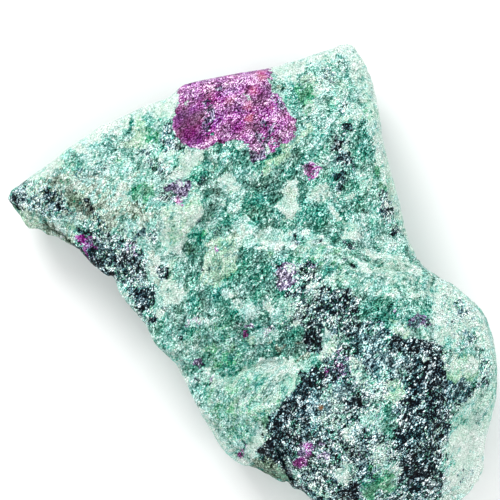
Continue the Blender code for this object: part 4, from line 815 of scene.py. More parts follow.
    ("bright green", 0.60, 4, 5, ("area", [(296, 250), (318, 246), (345, 252), (360, 262), (345, 268), (318, 264), (300, 260)])),
    ("bright green", 0.50, 5, 6, ("area", [(212, 388), (240, 376), (285, 376), (288, 400), (266, 430), (240, 440), (216, 420)])),
    ("hornblende", 0.60, 4, 6, ("area", [(320, 366), (336, 372), (332, 392), (314, 410), (302, 432), (290, 454), (272, 466), (258, 454), (270, 428), (282, 404), (300, 384)])),
    ("black", 0.45, 3, 5, ("area", [(268, 440), (282, 424), (296, 436), (288, 458), (270, 462)])),
    ("green", 0.45, 3, 4, ("area", [(300, 340), (312, 346), (314, 358), (302, 360)])),
    ("smooth mint", 0.45, 5, 8, ("area", [(450, 410), (470, 404), (494, 408), (494, 436), (470, 444), (450, 436)])),
    ("smooth white", 0.40, 5, 7, ("area", [(448, 434), (466, 430), (486, 436), (482, 456), (462, 466), (446, 456)])),
    ("mint", 0.40, 4, 7, ("area", [(206, 236), (222, 230), (240, 240), (240, 282), (222, 292), (204, 284)])),
    ("pale lime", 0.40, 3, 6, ("area", [(206, 262), (222, 256), (234, 262), (226, 282), (210, 288)])),
    ("hornblende", 0.45, 2, 4, ("spot", (345, 170, 7, 16, 15))),
    ("green", 0.35, 2, 4, ("spot", (352, 180, 8, 7))),
    ("mint", 0.50, 3, 5, ("area", [(318, 388), (334, 384), (348, 396), (340, 410), (322, 404)])),
    ("teal pepper", 0.50, 5, 7, ("area", [(332, 322), (370, 318), (404, 332), (424, 350), (418, 376), (392, 390), (352, 384), (334, 352)])),
    ("slate", 0.35, 4, 6, ("area", [(350, 334), (384, 336), (402, 352), (392, 372), (364, 370), (350, 352)])),
    ("pepper", 0.50, 4, 6, ("area", [(308, 290), (336, 286), (360, 300), (362, 324), (338, 330), (312, 316)])),
    ("pepper", 0.35, 4, 6, ("area", [(404, 384), (440, 376), (446, 420), (436, 470), (408, 476), (398, 430)])),
    ("green", 0.40, 3, 5, ("area", [(296, 346), (312, 352), (314, 364), (296, 366)])),
    ("smooth pale", 0.35, 4, 6, ("area", [(372, 448), (388, 440), (396, 456), (384, 470), (370, 464)])),
    ("bright green", 0.45, 5, 6, ("area", [(204, 392), (228, 384), (262, 384), (270, 400), (256, 428), (232, 444), (214, 424)])),
    # fifth pass: emerald fields, smooth pale lumps and the parts of the dark crown
    ("bright green", 0.50, 3, 5, ("area", [(201, 186), (222, 182), (236, 196), (234, 222), (214, 236), (202, 222)])),
    ("deep", 0.45, 3, 5, ("area", [(240, 186), (262, 176), (282, 184), (280, 206), (272, 226), (250, 226), (242, 208)])),
    ("green", 0.75, 3, 5, ("area", [(184, 226), (202, 222), (203, 262), (198, 290), (178, 288), (176, 262), (188, 250)])),
    ("deep", 0.60, 3, 5, ("area", [(226, 276), (240, 262), (262, 258), (276, 270), (272, 296), (252, 304), (230, 300)])),
    ("bright green", 0.50, 3, 5, ("area", [(196, 330), (222, 322), (240, 338), (262, 344), (258, 364), (226, 372), (200, 362)])),
    ("pale lime", 0.50, 3, 5, ("area", [(162, 208), (180, 202), (198, 200), (196, 220), (184, 240), (170, 246), (160, 230)])),
    ("lime", 0.45, 3, 4, ("area", [(206, 258), (222, 250), (236, 258), (228, 278), (210, 284)])),
    ("black", 0.60, 2, 3, ("spot", (165, 271, 7, 6, 20))),
    ("black", 0.50, 4, 6, ("area", [(410, 386), (436, 380), (448, 394), (438, 436), (444, 478), (414, 480), (404, 440), (412, 412)])),
    ("pale slate", 0.75, 3, 5, ("area", [(346, 338), (374, 334), (396, 350), (404, 366), (394, 378), (376, 374), (362, 358)])),
    ("smooth mint", 0.60, 2, 4, ("area", [(348, 362), (360, 364), (374, 380), (362, 386), (350, 378)])),
    ("pale lime", 0.55, 3, 4, ("area", [(388, 382), (404, 380), (406, 396), (396, 406), (386, 400)])),
    ("mint", 0.45, 3, 5, ("area", [(362, 402), (380, 396), (386, 418), (378, 438), (360, 430), (356, 414)])),
    ("pale slate", 0.50, 3, 4, ("spot", (317, 402, 13, 13))),
    ("mint", 0.45, 3, 4, ("area", [(326, 408), (342, 404), (350, 420), (338, 430), (326, 424)])),
    ("black", 0.55, 3, 4, ("area", [(386, 342), (404, 336), (420, 346), (418, 358), (402, 356), (390, 350)])),
    ("green", 0.45, 4, 5, ("area", [(136, 150), (160, 140), (182, 152), (178, 172), (152, 178), (138, 168)])),
    ("pale slate", 0.45, 3, 5, ("area", [(330, 380), (350, 386), (372, 382), (380, 396), (352, 402), (332, 400)])),
]

# Rust spot on the crown: u, v, radius
RUST = (320.8, 407.7, 2.6)
# Coral tint in the ruby: u, v, radius, strength
CORAL = [(249, 118, 4, 0.8), (246, 104, 4, 0.5), (262, 76, 5, 0.6), (270, 108, 3, 0.5), (254, 92, 4, 0.45), (230, 100, 5, 0.3)]


def sheets(co):
    """Minerals of the side walls and the underside: shares that follow tilted, wavy sheets through the rock."""
    n = len(co)
    state = np.zeros((n, len(ORDER) + 2))
    state[:, -2] = 0.05
    state[:, -1] = 1.0

    def lay(mix, mask):
        blend_in(state, mix, mask)

    wave = fractal_noise(co, 0.016, 3, 501) * 0.006
    bands = (co @ np.array([0.62, -0.35, 0.70])) + wave
    deep = smoothstep(0.05, 0.45, fractal_noise(co + wave[:, None], 0.011, 3, 511))
    lay("deep", 0.75 * deep)
    lay("mint", 0.8 * smoothstep(0.10, 0.42, fractal_noise(co, 0.009, 3, 523)))
    lay("smooth pale", 0.9 * smoothstep(0.30, 0.48, fractal_noise(co, 0.013, 3, 531)))
    lay("olive", 0.6 * smoothstep(0.28, 0.60, fractal_noise(co, 0.020, 3, 541)))
    lay("pepper", 0.85 * smoothstep(0.55, 0.85, np.sin(bands / 0.0042) * 0.6 + fractal_noise(co, 0.008, 3, 547)))
    lay("black", 0.90 * smoothstep(0.80, 1.05, np.sin(bands / 0.0042) * 0.6 + fractal_noise(co, 0.006, 3, 551)))
    lay("slate", 0.55 * smoothstep(0.25, 0.55, fractal_noise(co, 0.012, 3, 557)))
    lay("ruby", 0.95 * smoothstep(0.52, 0.60, fractal_noise(co, 0.010, 3, 569)))
    return state


def blend_in(state, mix, mask):
    shares, tone, contrast = MIXES[mix]
    recipe = np.zeros(state.shape[1])
    for k, name in enumerate(ORDER):
        recipe[k] = shares.get(name, 0.0)
    recipe[-2], recipe[-1] = tone, contrast
    state += (recipe - state) * mask[:, None]


def drawn(co, uv):
    """Minerals of the upper face from the drawn patches."""
    n = len(co)
    state = np.zeros((n, len(ORDER) + 2))
    state[:, -2] = 0.04
    state[:, -1] = 1.0
    flat = np.stack([uv[:, 0], uv[:, 1], co[:, 2] / UNIT * 0.6], axis=1) * UNIT
    # two scales of wander for the rims of patches
    wide = np.stack([fractal_noise(flat, 0.0042, 2, 601), fractal_noise(flat, 0.0042, 2, 607)], axis=1)
    close = np.stack([fractal_noise(flat, 0.0014, 2, 613), fractal_noise(flat, 0.0014, 2, 617)], axis=1)
    fine = np.stack([fractal_noise(flat, 0.0007, 1, 619), fractal_noise(flat, 0.0007, 1, 641)], axis=1)
    # ground: patches of pale and deep grains
    ground = fractal_noise(flat, 0.0036, 3, 631)
    blend_in(state, "mint", 0.55 * smoothstep(0.02, 0.30, ground))
    blend_in(state, "deep", 0.45 * smoothstep(0.05, 0.32, -ground))
    for mix, strength, soft, ragged, shape in PATCHES:
        pts = shape[1]
        if shape[0] == "spot":
            r = max(pts[2], pts[3] if len(pts) > 3 else pts[2]) + soft + 2 * ragged + 3
            lo = np.array([pts[0] - r, pts[1] - r])
            hi = np.array([pts[0] + r, pts[1] + r])
        else:
            ring = np.array(pts if shape[0] == "area" else pts[1:], float)
            grow = soft + 2 * ragged + 3 + (pts[0] if shape[0] == "vein" else 0)
            lo, hi = ring.min(0) - grow, ring.max(0) + grow
        near = np.where(np.all((uv > lo) & (uv < hi), axis=1))[0]
        if not len(near):
            continue
        where = uv[near] + wide[near] * ragged * 1.1 + close[near] * min(ragged, 3.5) * 1.3 + fine[near] * min(ragged, 2.5) * 0.9
        d = reach(where, shape)
        soft *= 0.55
        mask = strength * smoothstep(soft * 0.5, -soft * 0.5, d)
        part = state[near]
        blend_in(part, mix, mask)
        state[near] = part
    return state


# ---------------------------------------------------------------- the broken surface
def arrays(mesh):
    co = np.empty(len(mesh.vertices) * 3)
    mesh.vertices.foreach_get("co", co)
    nor = np.empty(len(mesh.vertices) * 3)
    mesh.vertices.foreach_get("normal", nor)
    edges = np.empty(len(mesh.edges) * 2, np.int64)
    mesh.edges.foreach_get("vertices", edges)
    return co.reshape(-1, 3), nor.reshape(-1, 3), edges.reshape(-1, 2)


def spread(values, edges, rounds):
    """Values at the vertices, averaged with their neighbours' a number of times."""
    out = np.array(values, float)
    n = len(out)
    count = np.bincount(edges[:, 0], minlength=n) + np.bincount(edges[:, 1], minlength=n) + 1.0
    flat = out.reshape(n, -1)
    for _ in range(rounds):
        total = flat.copy()
        for c in range(flat.shape[1]):
            total[:, c] += np.bincount(edges[:, 0], flat[edges[:, 1], c], n)
            total[:, c] += np.bincount(edges[:, 1], flat[edges[:, 0], c], n)
        flat = total / count[:, None]
    return flat.reshape(out.shape)


def skin_of(node):
    """A fine, evenly meshed copy of the CAD solid with its flat facets smoothed away."""
    mesh = node.data.copy()
    mesh.materials.clear()
    bm = bmesh.new()
    bm.from_mesh(mesh)
    bmesh.ops.remove_doubles(bm, verts=bm.verts, dist=1e-6)
    bm.to_mesh(mesh)
    bm.free()
    obj = bpy.data.objects.new("skin", mesh)
    bpy.context.scene.collection.objects.link(obj)
    fine = obj.modifiers.new("fine", "REMESH")
    fine.mode = "VOXEL"
    fine.voxel_size = SKIN
    fine.adaptivity = 0.0
    bpy.context.view_layer.update()
    deps = bpy.context.evaluated_depsgraph_get()
    out = bpy.data.meshes.new_from_object(obj.evaluated_get(deps))
    bpy.data.objects.remove(obj)
    return out


def relief(co, wide):
    """Height of the broken surface over the smooth one, m."""
    h = 0.00030 * facets(co, 0.0060, 31)
    h += 0.00013 * facets(co, 0.0026, 47)
    h -= 0.00009 * facets(co, 0.0016, 53)
    h -= 0.00007 * facets(co, 0.0010, 59)
    h += 0.00008 * fractal_noise(co, 0.0030, 4, 71, 0.6)
    # the side walls are broken in larger, deeper steps
    wall = smoothstep(0.05, -0.35, wide[:, 2])
    h += wall * 0.00120 * (facets(co, 0.0120, 37) - 0.75)
    h += wall * 0.00040 * (facets(co, 0.0052, 41) - 0.5)
    return h


def stepped(co, uv, top):
    """How far the ledges and the sunken ground lower each point of the upper face, m."""
    flat = np.stack([uv[:, 0], uv[:, 1], np.zeros(len(uv))], axis=1) * UNIT
    stray = np.stack([fractal_noise(flat, 0.0022, 3, 811), fractal_noise(flat, 0.0022, 3, 821)], axis=1) * 2.0
    down = np.zeros(len(co))
    for drop, out, line in LEDGES:
        pts = np.array(line, float)
        near = np.where(np.all((uv > pts.min(0) - out - 4) & (uv < pts.max(0) + out + 4), axis=1))[0]
        d, side, along = away_from_line(uv[near] + stray[near], line)
        ends = smoothstep(0.0, 0.12, along) * smoothstep(1.0, 0.88, along)
        down[near] += drop * ends * np.where(side > 0, 1 - smoothstep(1.0, out, d), 0.0) * smoothstep(0.0, 1.5, d * side)
    for depth, soft, shape in SUNK:
        ring = np.array(shape[1] if shape[0] == "area" else shape[1][1:] if shape[0] == "vein" else
                        [(shape[1][0] - 12, shape[1][1] - 12), (shape[1][0] + 12, shape[1][1] + 12)], float)
        near = np.where(np.all((uv > ring.min(0) - 8) & (uv < ring.max(0) + 8), axis=1))[0]
        d = reach(uv[near] + stray[near] * min(1.0, 0.4 * soft), shape)
        down[near] += depth * smoothstep(soft * 0.5, -soft * 0.5, d)
    return down * 0.001 * top


def fitted(co, nz):
    """The plan outline brought onto the rim line, with a crisper shoulder inside it."""
    uv = plan_of(co)
    pts = np.array(RIM, float)
    ring = np.vstack([pts, pts[:1]])
    runs = np.hypot(*np.diff(ring, axis=0).T)
    length = runs.sum()
    count = int(length / 2.0)
    # outward direction along the rim, averaged over a few units so that corners turn smoothly
    centre = (np.arange(count) + 0.5) / count * length
    ends = np.concatenate([[0.0], np.cumsum(runs)])
    which = np.searchsorted(ends, centre, side="right") - 1
    step = np.diff(ring, axis=0) / runs[:, None]
    outward = np.stack([step[which, 1], -step[which, 0]], axis=1)
    kernel = np.array([1, 2, 3, 2, 1]) / 9.0
    turn = sum(w * np.roll(outward, k - 2, axis=0) for k, w in enumerate(kernel))
    turn /= np.linalg.norm(turn, axis=1)[:, None]
    near = np.where(np.all((uv > pts.min(0) - 30) & (uv < pts.max(0) + 30), axis=1))[0]
    d, side, along = away_from_line(uv[near], RIM, closed=True)
    far = np.where(inside(uv[near], RIM), -d, d)
    slot = np.minimum((along * count).astype(int), count - 1)
    reach_out = np.full(count, -30.0)
    np.maximum.at(reach_out, slot, far)
    for _ in range(3):
        gap = reach_out < -20
        reach_out = np.where(gap, np.roll(reach_out, 1), reach_out)
    reach_out = sum(w * np.roll(reach_out, k - 2) for k, w in enumerate(kernel))
    push = -reach_out[slot] * smoothstep(-26.0, -3.0, far)
    # shoulder: the last 14 units before the rim are drawn outwards
    room = np.clip(-far, 0.0, 14.0)
    crisp = room - 14.0 * (room / 14.0) ** 1.8
    push += crisp * smoothstep(0.05, 0.35, nz[near])
    k = (EYE - TRUE_AT) / (EYE - co[near, 2])
    co = co.copy()
    co[near, 0] += push * turn[slot, 0] * UNIT / k
    co[near, 1] -= push * turn[slot, 1] * UNIT / k
    return co


def shaped():
    mesh = skin_of(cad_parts["stone"])
    co, nor, edges = arrays(mesh)
    floor_level = co[:, 2].min()
    # facets of the solid are averaged out
    smooth = spread(co, edges, 4)
    at_foot = smoothstep(0.0012, 0.0, co[:, 2] - floor_level)
    co = smooth * (1 - at_foot[:, None]) + co * at_foot[:, None]
    mesh.vertices.foreach_set("co", co.ravel())
    mesh.update()
    co, nor, edges = arrays(mesh)
    uv = plan_of(co)
    wide = spread(nor, edges, 12)
    wide /= np.linalg.norm(wide, axis=1)[:, None]
    top = smoothstep(0.0, 0.4, wide[:, 2])
    h = relief(co, wide)
    h *= 1.0 - at_foot
    co = co + wide * h[:, None]
    co[:, 2] -= stepped(co, uv, top) * (1.0 - at_foot)
    co = fitted(co, wide[:, 2])
    co[:, 2] = np.maximum(co[:, 2], 0.0)
    mesh.vertices.foreach_set("co", co.ravel())
    mesh.update()
    return mesh


def thinned(mesh):
    """The surface with fewer faces, most of them kept on the upper face."""
    obj = bpy.data.objects.new("ruby_in_zoisite_lump", mesh)
    bpy.context.scene.collection.objects.link(obj)
    co, nor, edges = arrays(mesh)
    wide = spread(nor, edges, 12)
    keep = 0.15 + 0.85 * smoothstep(-0.7, 0.2, wide[:, 2])
    group = obj.vertex_groups.new(name="thin")
    for step in range(11):
        picked = np.where(np.round((1 - keep) * 10).astype(int) == step)[0]
        if step and len(picked):
            group.add(picked.tolist(), step / 10.0, "REPLACE")
    faces = sum(len(p.vertices) - 2 for p in mesh.polygons)
    tri = obj.modifiers.new("tri", "TRIANGULATE")
    dec = obj.modifiers.new("thin", "DECIMATE")
    dec.decimate_type = "COLLAPSE"
    dec.ratio = min(1.0, TRIANGLES / faces)
    dec.vertex_group = "thin"
    dec.vertex_group_factor = 1.0
    deps = bpy.context.evaluated_depsgraph_get()
    out = bpy.data.meshes.new_from_object(obj.evaluated_get(deps))
    obj.modifiers.clear()
    obj.vertex_groups.clear()
    old = obj.data
    obj.data = out
    bpy.data.meshes.remove(old)
    return obj


def painted(obj):
    """Writes the minerals at every vertex as attributes that the material reads."""
    mesh = obj.data
    co, nor, edges = arrays(mesh)
    uv = plan_of(co)
    wide = spread(nor, edges, 25)
    wide /= np.linalg.norm(wide, axis=1)[:, None]
    state = drawn(co, uv)
    below = sheets(co)
    ragged = 0.32 * fractal_noise(co, 0.005, 4, 701)
    ruby_edge = state[:, ORDER.index("ruby")] * smoothstep(0.012, 0.016, co[:, 2] + 0.003 * fractal_noise(co, 0.003, 3, 709))
    hide = smoothstep(0.20, -0.06, wide[:, 2] + ragged) * (1 - ruby_edge)
    state += (below - state) * hide[:, None]
    # wear and painted shade: how far each point stands out of or sinks into its surroundings; raised points come out
    # paler for rubbed wear, sunken ones darker as painted shade in the hollows
    out = ((co - spread(co, edges, 4)) * nor).sum(1) / 0.00006
    broad = ((co - spread(co, edges, 30)) * nor).sum(1) / 0.00030
    wear_and_hollow_shade = np.clip(0.5 + 0.22 * out + 0.25 * broad, 0, 1)
    shares = np.clip(state[:, :8], 0, 1)
    tone = np.clip(0.5 + state[:, 8], 0, 1)
    contrast = np.clip(state[:, 9] / 2.0, 0, 1.5)
    flat = co / UNIT
    rust = smoothstep(RUST[2] + 0.8, RUST[2] - 0.8, np.hypot(uv[:, 0] - RUST[0], uv[:, 1] - RUST[1])) * (wide[:, 2] > 0)
    coral = np.zeros(len(co))
    stray = np.stack([fractal_noise(co, 0.0016, 2, 731), fractal_noise(co, 0.0016, 2, 733)], axis=1) * 5.0
    for u, v, r, strength in CORAL:
        gone = np.hypot(*(uv + stray - (u, v)).T)
        coral = np.maximum(coral, strength * smoothstep(r + 2, r - 2, gone) * (wide[:, 2] > 0))
    packs = {
        "mix_a": shares[:, 0:4],
        "mix_b": shares[:, 4:8],
        "mix_c": np.stack([tone, contrast, wear_and_hollow_shade, 0.5 + 0.5 * rust - 0.5 * coral], axis=1),
    }
    for name, data in packs.items():
        layer = mesh.color_attributes.new(name=name, type="FLOAT_COLOR", domain="POINT")
        layer.data.foreach_set("color", np.ascontiguousarray(data, dtype=np.float32).ravel())


# ---------------------------------------------------------------- material
FABRIC = (0.62, 0.77, 0.15)   # direction in which the grains are drawn out
ALBEDO = 0.80                 # share of the light that a pure white grain gives back


def linear(rgb, share=1.0):
    out = []
    for c in rgb:
        c = c / 255.0
        out.append(share * (c / 12.92 if c <= 0.04045 else ((c + 0.055) / 1.055) ** 2.4))
    return tuple(out) + (1.0,)


class Graph:
    """Short hand for laying out a node tree."""

    def __init__(self, material):
        material.use_nodes = True
        self.tree = material.node_tree
        self.tree.nodes.clear()

    def add(self, kind, inputs=None, **settings):
        node = self.tree.nodes.new(kind)
        for key, value in settings.items():
            setattr(node, key, value)
        for key, value in (inputs or {}).items():
            self.feed(node.inputs[key], value)
        return node

    def feed(self, socket, value):
        if isinstance(value, bpy.types.NodeSocket):
            self.tree.links.new(value, socket)
        else:
            socket.default_value = value

    def math(self, kind, a, b=0.0, c=0.0, clamp=False):
        node = self.tree.nodes.new("ShaderNodeMath")
        node.operation = kind
        node.use_clamp = clamp
        for socket, value in zip(node.inputs, (a, b, c)):
            self.feed(socket, value)
        return node.outputs[0]

    def vector(self, kind, a, b=(0, 0, 0), scale=None):
        node = self.tree.nodes.new("ShaderNodeVectorMath")
        node.operation = kind
        self.feed(node.inputs[0], a)
        if scale is None:
            self.feed(node.inputs[1], b)
        else:
            self.feed(node.inputs["Scale"], scale)
        return node.outputs[0]

    def mix(self, factor, a, b, kind="MIX"):
        node = self.tree.nodes.new("ShaderNodeMix")
        node.data_type = "RGBA"
        node.blend_type = kind
        self.feed(node.inputs[0], factor)
        self.feed(node.inputs[6], a)
        self.feed(node.inputs[7], b)
        return node.outputs[2]

    def ramp(self, factor, stops):
        node = self.tree.nodes.new("ShaderNodeValToRGB")
        self.feed(node.inputs[0], factor)
        ramp = node.color_ramp
        ramp.interpolation = "LINEAR"
        while len(ramp.elements) < len(stops):
            ramp.elements.new(0.5)
        for element, (place, colour) in zip(ramp.elements, stops):
            element.position = place
            element.color = colour
        return node.outputs[0]

    def curve(self, value, points):
        """A bent line through the points, held level beyond its ends."""
        lo, hi = points[0][0], points[-1][0]
        low, high = min(y for _, y in points), max(y for _, y in points)
        where = self.math("DIVIDE", self.math("SUBTRACT", value, lo), hi - lo, clamp=True)
        stops = [((x - lo) / (hi - lo), ((y - low) / (high - low),) * 3 + (1.0,)) for x, y in points]
        shade, _, _ = self.split(self.ramp(where, stops))
        return self.math("ADD", self.math("MULTIPLY", shade, high - low), low)

    def step(self, value, half):
        """A rise from -1 to 1 as the value passes through 0."""
        node = self.tree.nodes.new("ShaderNodeMapRange")
        node.interpolation_type = "SMOOTHSTEP"
        self.feed(node.inputs["Value"], value)
        for key, number in (("From Min", -half), ("From Max", half), ("To Min", -1.0), ("To Max", 1.0)):
            node.inputs[key].default_value = number
        return node.outputs["Result"]

    def split(self, colour):
        node = self.add("ShaderNodeSeparateColor", {"Color": colour})
        return node.outputs[0], node.outputs[1], node.outputs[2]

    def noise(self, where, size, detail=2.0, rough=0.5, distortion=0.0):
        node = self.add("ShaderNodeTexNoise", {"Vector": where, "Scale": 1.0 / size, "Detail": detail,
                                               "Roughness": rough, "Distortion": distortion})
        return node.outputs["Fac"], node.outputs["Color"]

    def grains(self, where, size, feature="F1"):
        node = self.add("ShaderNodeTexVoronoi", {"Vector": where, "Scale": 1.0 / size}, feature=feature)
        return node


def rock_material():
    material = bpy.data.materials.new("ruby_in_zoisite")
    g = Graph(material)
    where = g.add("ShaderNodeTexCoord").outputs["Object"]
    # the grains are drawn out along the rock's fabric
    along = g.add("ShaderNodeVectorMath", {0: where, 1: FABRIC}, operation="DOT_PRODUCT").outputs["Value"]
    place = g.vector("SUBTRACT", where, g.vector("SCALE", FABRIC, scale=g.math("MULTIPLY", along, 0.42)))

    a = g.add("ShaderNodeAttribute", attribute_name="mix_a", attribute_type="GEOMETRY")
    b = g.add("ShaderNodeAttribute", attribute_name="mix_b", attribute_type="GEOMETRY")
    c = g.add("ShaderNodeAttribute", attribute_name="mix_c", attribute_type="GEOMETRY")
    leaf, slate, pale = g.split(a.outputs["Color"])
    lime = a.outputs["Alpha"]
    olive, hornblende, lavender = g.split(b.outputs["Color"])
    ruby = b.outputs["Alpha"]
    tone, contrast, wear_and_hollow_shade = g.split(c.outputs["Color"])
    tint = c.outputs["Alpha"]

    # grains: a wandering place, then cells of three sizes
    _, wander = g.noise(place, 0.0009, 2.0)
    shift = g.vector("SCALE", g.vector("SUBTRACT", wander, (0.5, 0.5, 0.5)), scale=0.00024)
    bent = g.vector("ADD", place, shift)
    small = g.grains(bent, 0.00040)
    large = g.grains(bent, 0.00090)
    fleck = g.grains(bent, 0.00027)
    s1, s2, s3 = g.split(small.outputs["Color"])
    l1, l2, l3 = g.split(large.outputs["Color"])
    f1, f2, f3 = g.split(fleck.outputs["Color"])
    # the noise is read at each grain's middle, so that a clot ends along grain edges
    middle = fleck.outputs["Position"]
    broad, broad_colour = g.noise(middle, 0.0013, 5.0, 0.60)
    _, kind, _ = g.split(broad_colour)
    close, _ = g.noise(small.outputs["Position"], 0.0007, 2.0, 0.60)
    dust, _ = g.noise(place, 0.00024, 0.0)
    glint, _ = g.noise(where, 0.00020, 0.0)

    # which family a place belongs to: the minerals lie in ragged clumps
    kind = g.math("ADD", kind, g.math("MULTIPLY", g.math("SUBTRACT", s1, 0.5), 0.06))
    pick = g.curve(kind, [(0.28, 0.0), (0.34, 0.04), (0.40, 0.14), (0.45, 0.30), (0.50, 0.50), (0.55, 0.70), (0.60, 0.86),
                          (0.66, 0.96), (0.72, 1.0)])

    # tone of each grain: deep, middling and pale clots with sharp rims, then specks
    side = g.math("SUBTRACT", tone, 0.5)
    field = g.math("ADD", g.math("MULTIPLY", g.math("SUBTRACT", broad, 0.5), 7.0), g.math("MULTIPLY", g.math("SUBTRACT", side, 0.033), 10.0))
    # each rim is a little darker on its deep side and lighter on its pale side
    clot = g.curve(field, [(-2.4, -1.00), (-0.65, -0.85), (-0.42, -1.55), (-0.32, 0.05), (0.32, -0.30), (0.42, 1.65),
                           (0.68, 0.95), (2.4, 1.05)])
    bleb = g.step(g.math("ADD", g.math("MULTIPLY", g.math("SUBTRACT", close, 0.5), 8.0), g.math("MULTIPLY", side, 2.0)), 0.35)

    speck = g.math("ADD", g.math("MULTIPLY", g.math("SUBTRACT", s2, 0.5), 0.20),
                   g.math("MULTIPLY", g.math("SUBTRACT", f2, 0.5), 0.24))
    speck = g.math("ADD", speck, g.math("MULTIPLY", g.math("GREATER_THAN", f3, 0.90), 0.18))
    speck = g.math("SUBTRACT", speck, g.math("MULTIPLY", g.math("LESS_THAN", s3, 0.05), 0.30))
    grit = g.curve(dust, [(0.22, -1.0), (0.42, -0.75), (0.475, -0.50), (0.525, 0.50), (0.58, 0.75), (0.78, 1.0)])
    # the green ground is solid with pale clots in it, the dark minerals are peppered grain by grain
    force = g.math("MULTIPLY", contrast, 2.0)
    pepper = g.math("ADD", g.math("MULTIPLY", g.math("SUBTRACT", force, 2.1), 1.2, clamp=True), g.math("MULTIPLY", ruby, 0.7), clamp=True)
    speck = g.math("ADD", speck, g.math("MULTIPLY", grit, g.math("ADD", 0.13, g.math("MULTIPLY", pepper, 0.19))))
    # painted shade: the gaps between the grains are darker than their middles, as shade falls between the crystals
    gap = g.math("MULTIPLY", g.math("SUBTRACT", small.outputs["Distance"], 0.36), 4.0, clamp=True)
    speck = g.math("SUBTRACT", speck, g.math("MULTIPLY", g.math("SUBTRACT", gap, 0.35), 0.16))
    # pale specks stand out less than dark pits, but for those in the dark minerals
    pop = g.math("ADD", 0.76, g.math("MULTIPLY", pepper, 0.30))
    speck = g.math("ADD", g.math("MINIMUM", speck, g.math("MULTIPLY", speck, pop)), 0.009)
    swing = g.math("MULTIPLY", g.math("MULTIPLY", clot, g.math("ADD", 0.150, g.math("MULTIPLY", pepper, 0.005))), g.math("POWER", force, 0.6))
    swing = g.math("ADD", swing, g.math("MULTIPLY", speck, g.math("POWER", force, 1.10)))
    swing = g.math("ADD", swing, g.math("MULTIPLY", g.math("MULTIPLY", bleb, 0.04), g.math("MULTIPLY", force, force)))
    level = g.math("ADD", g.math("ADD", 0.5, g.math("MULTIPLY", side, 0.55)), swing)
    # raised points paler for rubbed wear, sunken ones darker as painted shade in the hollows
    level = g.math("ADD", level, g.math("MULTIPLY", g.math("SUBTRACT", wear_and_hollow_shade, 0.5), 0.16))

    def family(name):
        stops = [(k / 4.0, linear(rgb, ALBEDO)) for k, rgb in enumerate(FAMILIES[name])]
        return g.ramp(level, stops)

    shares = {"leaf": leaf, "slate": slate, "pale": pale, "lime": lime, "olive": olive, "hornblende": hornblende,
              "lavender": lavender, "ruby": ruby}
    colour = family("zoisite")
    sums = []
    total = None
    for name in ORDER:
        total = shares[name] if total is None else g.math("ADD", total, shares[name])
        sums.append(total)
    for name, edge in reversed(list(zip(ORDER, sums))):
        chosen = g.math("LESS_THAN", pick, g.math("SUBTRACT", g.math("MULTIPLY", edge, 1.02), 0.01))
        colour = g.mix(chosen, colour, family(name))

    # patches differ in how green or grey they are
    hue_a, hue_colour = g.noise(middle, 0.0026, 3.0, 0.55)
    _, hue_b, _ = g.split(hue_colour)
    strength = g.math("ADD", 0.97, g.math("MULTIPLY", g.math("SUBTRACT", hue_a, 0.5), 1.5))
    turn = g.math("ADD", 0.5, g.math("MULTIPLY", g.math("SUBTRACT", hue_b, 0.5), g.math("ADD", 0.10, g.math("MULTIPLY", ruby, 0.14))))
    colour = g.add("ShaderNodeHueSaturation", {"Hue": turn, "Saturation": strength, "Color": colour}).outputs[0]

    # painted sparkle and pit shade: brighter and darker specks multiplied into the colour, the same in hue as the grain
    # around them
    sparkle_and_pit_shade = g.math("MULTIPLY", g.math("SUBTRACT", glint, 0.5), g.math("ADD", 3.4, g.math("MULTIPLY", pepper, 0.6)))
    sparkle_and_pit_shade = g.math("ADD", 1.0, g.math("MULTIPLY", sparkle_and_pit_shade, force))
    colour = g.mix(1.0, colour, sparkle_and_pit_shade, "MULTIPLY")

    # rust and coral stains
    rust = g.math("MULTIPLY", g.math("SUBTRACT", tint, 0.5), 2.0, clamp=True)
    coral = g.math("MULTIPLY", g.math("SUBTRACT", 0.5, tint), 2.0, clamp=True)
    colour = g.mix(g.math("MULTIPLY", rust, 0.8), colour, linear((132, 92, 58)))
    colour = g.mix(g.math("MULTIPLY", coral, 0.55), colour, linear((196, 84, 92)))

    # each grain's broken face leans its own way
    normal = g.add("ShaderNodeNewGeometry").outputs["Normal"]
    lean = g.vector("SCALE", g.vector("SUBTRACT", small.outputs["Color"], (0.5, 0.5, 0.5)), scale=0.55)
    lean2 = g.vector("SCALE", g.vector("SUBTRACT", large.outputs["Color"], (0.5, 0.5, 0.5)), scale=0.35)
    tilted = g.vector("NORMALIZE", g.vector("ADD", g.vector("ADD", normal, lean), lean2))
    height = g.math("ADD", g.math("MULTIPLY", s3, 0.6), g.math("MULTIPLY", dust, 0.6))
    bump = g.add("ShaderNodeBump", {"Strength": 0.5, "Distance": 0.00010, "Height": height, "Normal": tilted})

    rough = g.math("ADD", 0.38, g.math("MULTIPLY", s3, 0.42))
    shader = g.add("ShaderNodeBsdfPrincipled", {"Base Color": colour, "Roughness": rough, "Normal": bump.outputs[0]})
    shader.inputs["IOR"].default_value = 1.6
    shader.inputs["Specular IOR Level"].default_value = 0.05
    out = g.add("ShaderNodeOutputMaterial")
    g.tree.links.new(shader.outputs[0], out.inputs["Surface"])
    return material


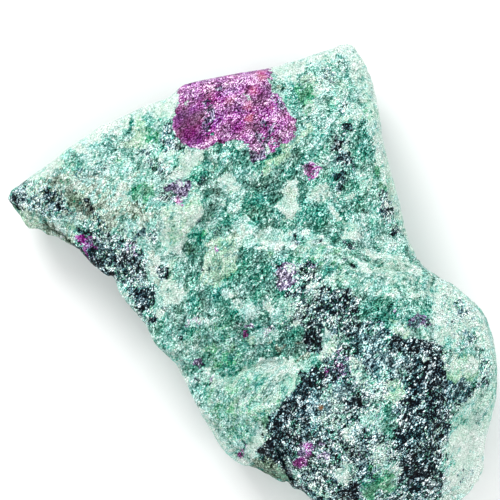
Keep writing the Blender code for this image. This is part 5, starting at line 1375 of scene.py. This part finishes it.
def floor_material():
    material = bpy.data.materials.new("pale_floor")
    g = Graph(material)
    where = g.add("ShaderNodeTexCoord").outputs["Object"]
    mottle, _ = g.noise(where, 0.05, 3.0)
    colour = g.ramp(mottle, [(0.0, (0.90, 0.90, 0.90, 1)), (1.0, (0.92, 0.92, 0.92, 1))])
    shader = g.add("ShaderNodeBsdfPrincipled", {"Base Color": colour, "Roughness": 0.9})
    shader.inputs["Specular IOR Level"].default_value = 0.1
    out = g.add("ShaderNodeOutputMaterial")
    g.tree.links.new(shader.outputs[0], out.inputs["Surface"])
    return material


# ---------------------------------------------------------------- the piece
stone = thinned(shaped())
painted(stone)
stone.data.materials.append(rock_material())
stone.data.shade_smooth()
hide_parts("stone")
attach(stone, "root")

# ---------------------------------------------------------------- floor, light and camera
bm = bmesh.new()
bmesh.ops.create_grid(bm, x_segments=1, y_segments=1, size=3.0)
floor_mesh = bpy.data.meshes.new("floor")
bm.to_mesh(floor_mesh)
bm.free()
floor = bpy.data.objects.new("floor", floor_mesh)
floor.location = (0, 0, -0.00005)
floor_mesh.materials.append(floor_material())
bpy.context.scene.collection.objects.link(floor)


def area_light(name, place, size, power):
    data = bpy.data.lights.new(name, "AREA")
    data.shape = "SQUARE"
    data.size = size
    data.energy = power
    lamp = bpy.data.objects.new(name, data)
    lamp.location = place
    lamp.rotation_euler = (Vector((0, 0, 0)) - Vector(place)).to_track_quat("-Z", "Y").to_euler()
    bpy.context.scene.collection.objects.link(lamp)


area_light("key", (-0.55, 1.00, 0.85), 0.50, 11.0)
area_light("fill", (1.1, -0.2, 0.9), 1.0, 4.0)

world = bpy.data.worlds.new("studio")
world.use_nodes = True
world.node_tree.nodes["Background"].inputs["Color"].default_value = (1.0, 1.0, 1.0, 1.0)
world.node_tree.nodes["Background"].inputs["Strength"].default_value = 1.05
bpy.context.scene.world = world

camera_data = bpy.data.cameras.new("camera")
camera_data.sensor_width = 36.0
camera_data.lens = 36.0 * (EYE - TRUE_AT) / (500 * UNIT)
camera_data.clip_start = 0.01
camera_data.clip_end = 20.0
camera = bpy.data.objects.new("camera", camera_data)
camera.location = ((LOOK_AT[0] - ORIGIN[0]) * UNIT, (ORIGIN[1] - LOOK_AT[1]) * UNIT, EYE)
bpy.context.scene.collection.objects.link(camera)
bpy.context.scene.camera = camera
bpy.context.scene.view_settings.view_transform = "Standard"

bpy.context.view_layer.update()
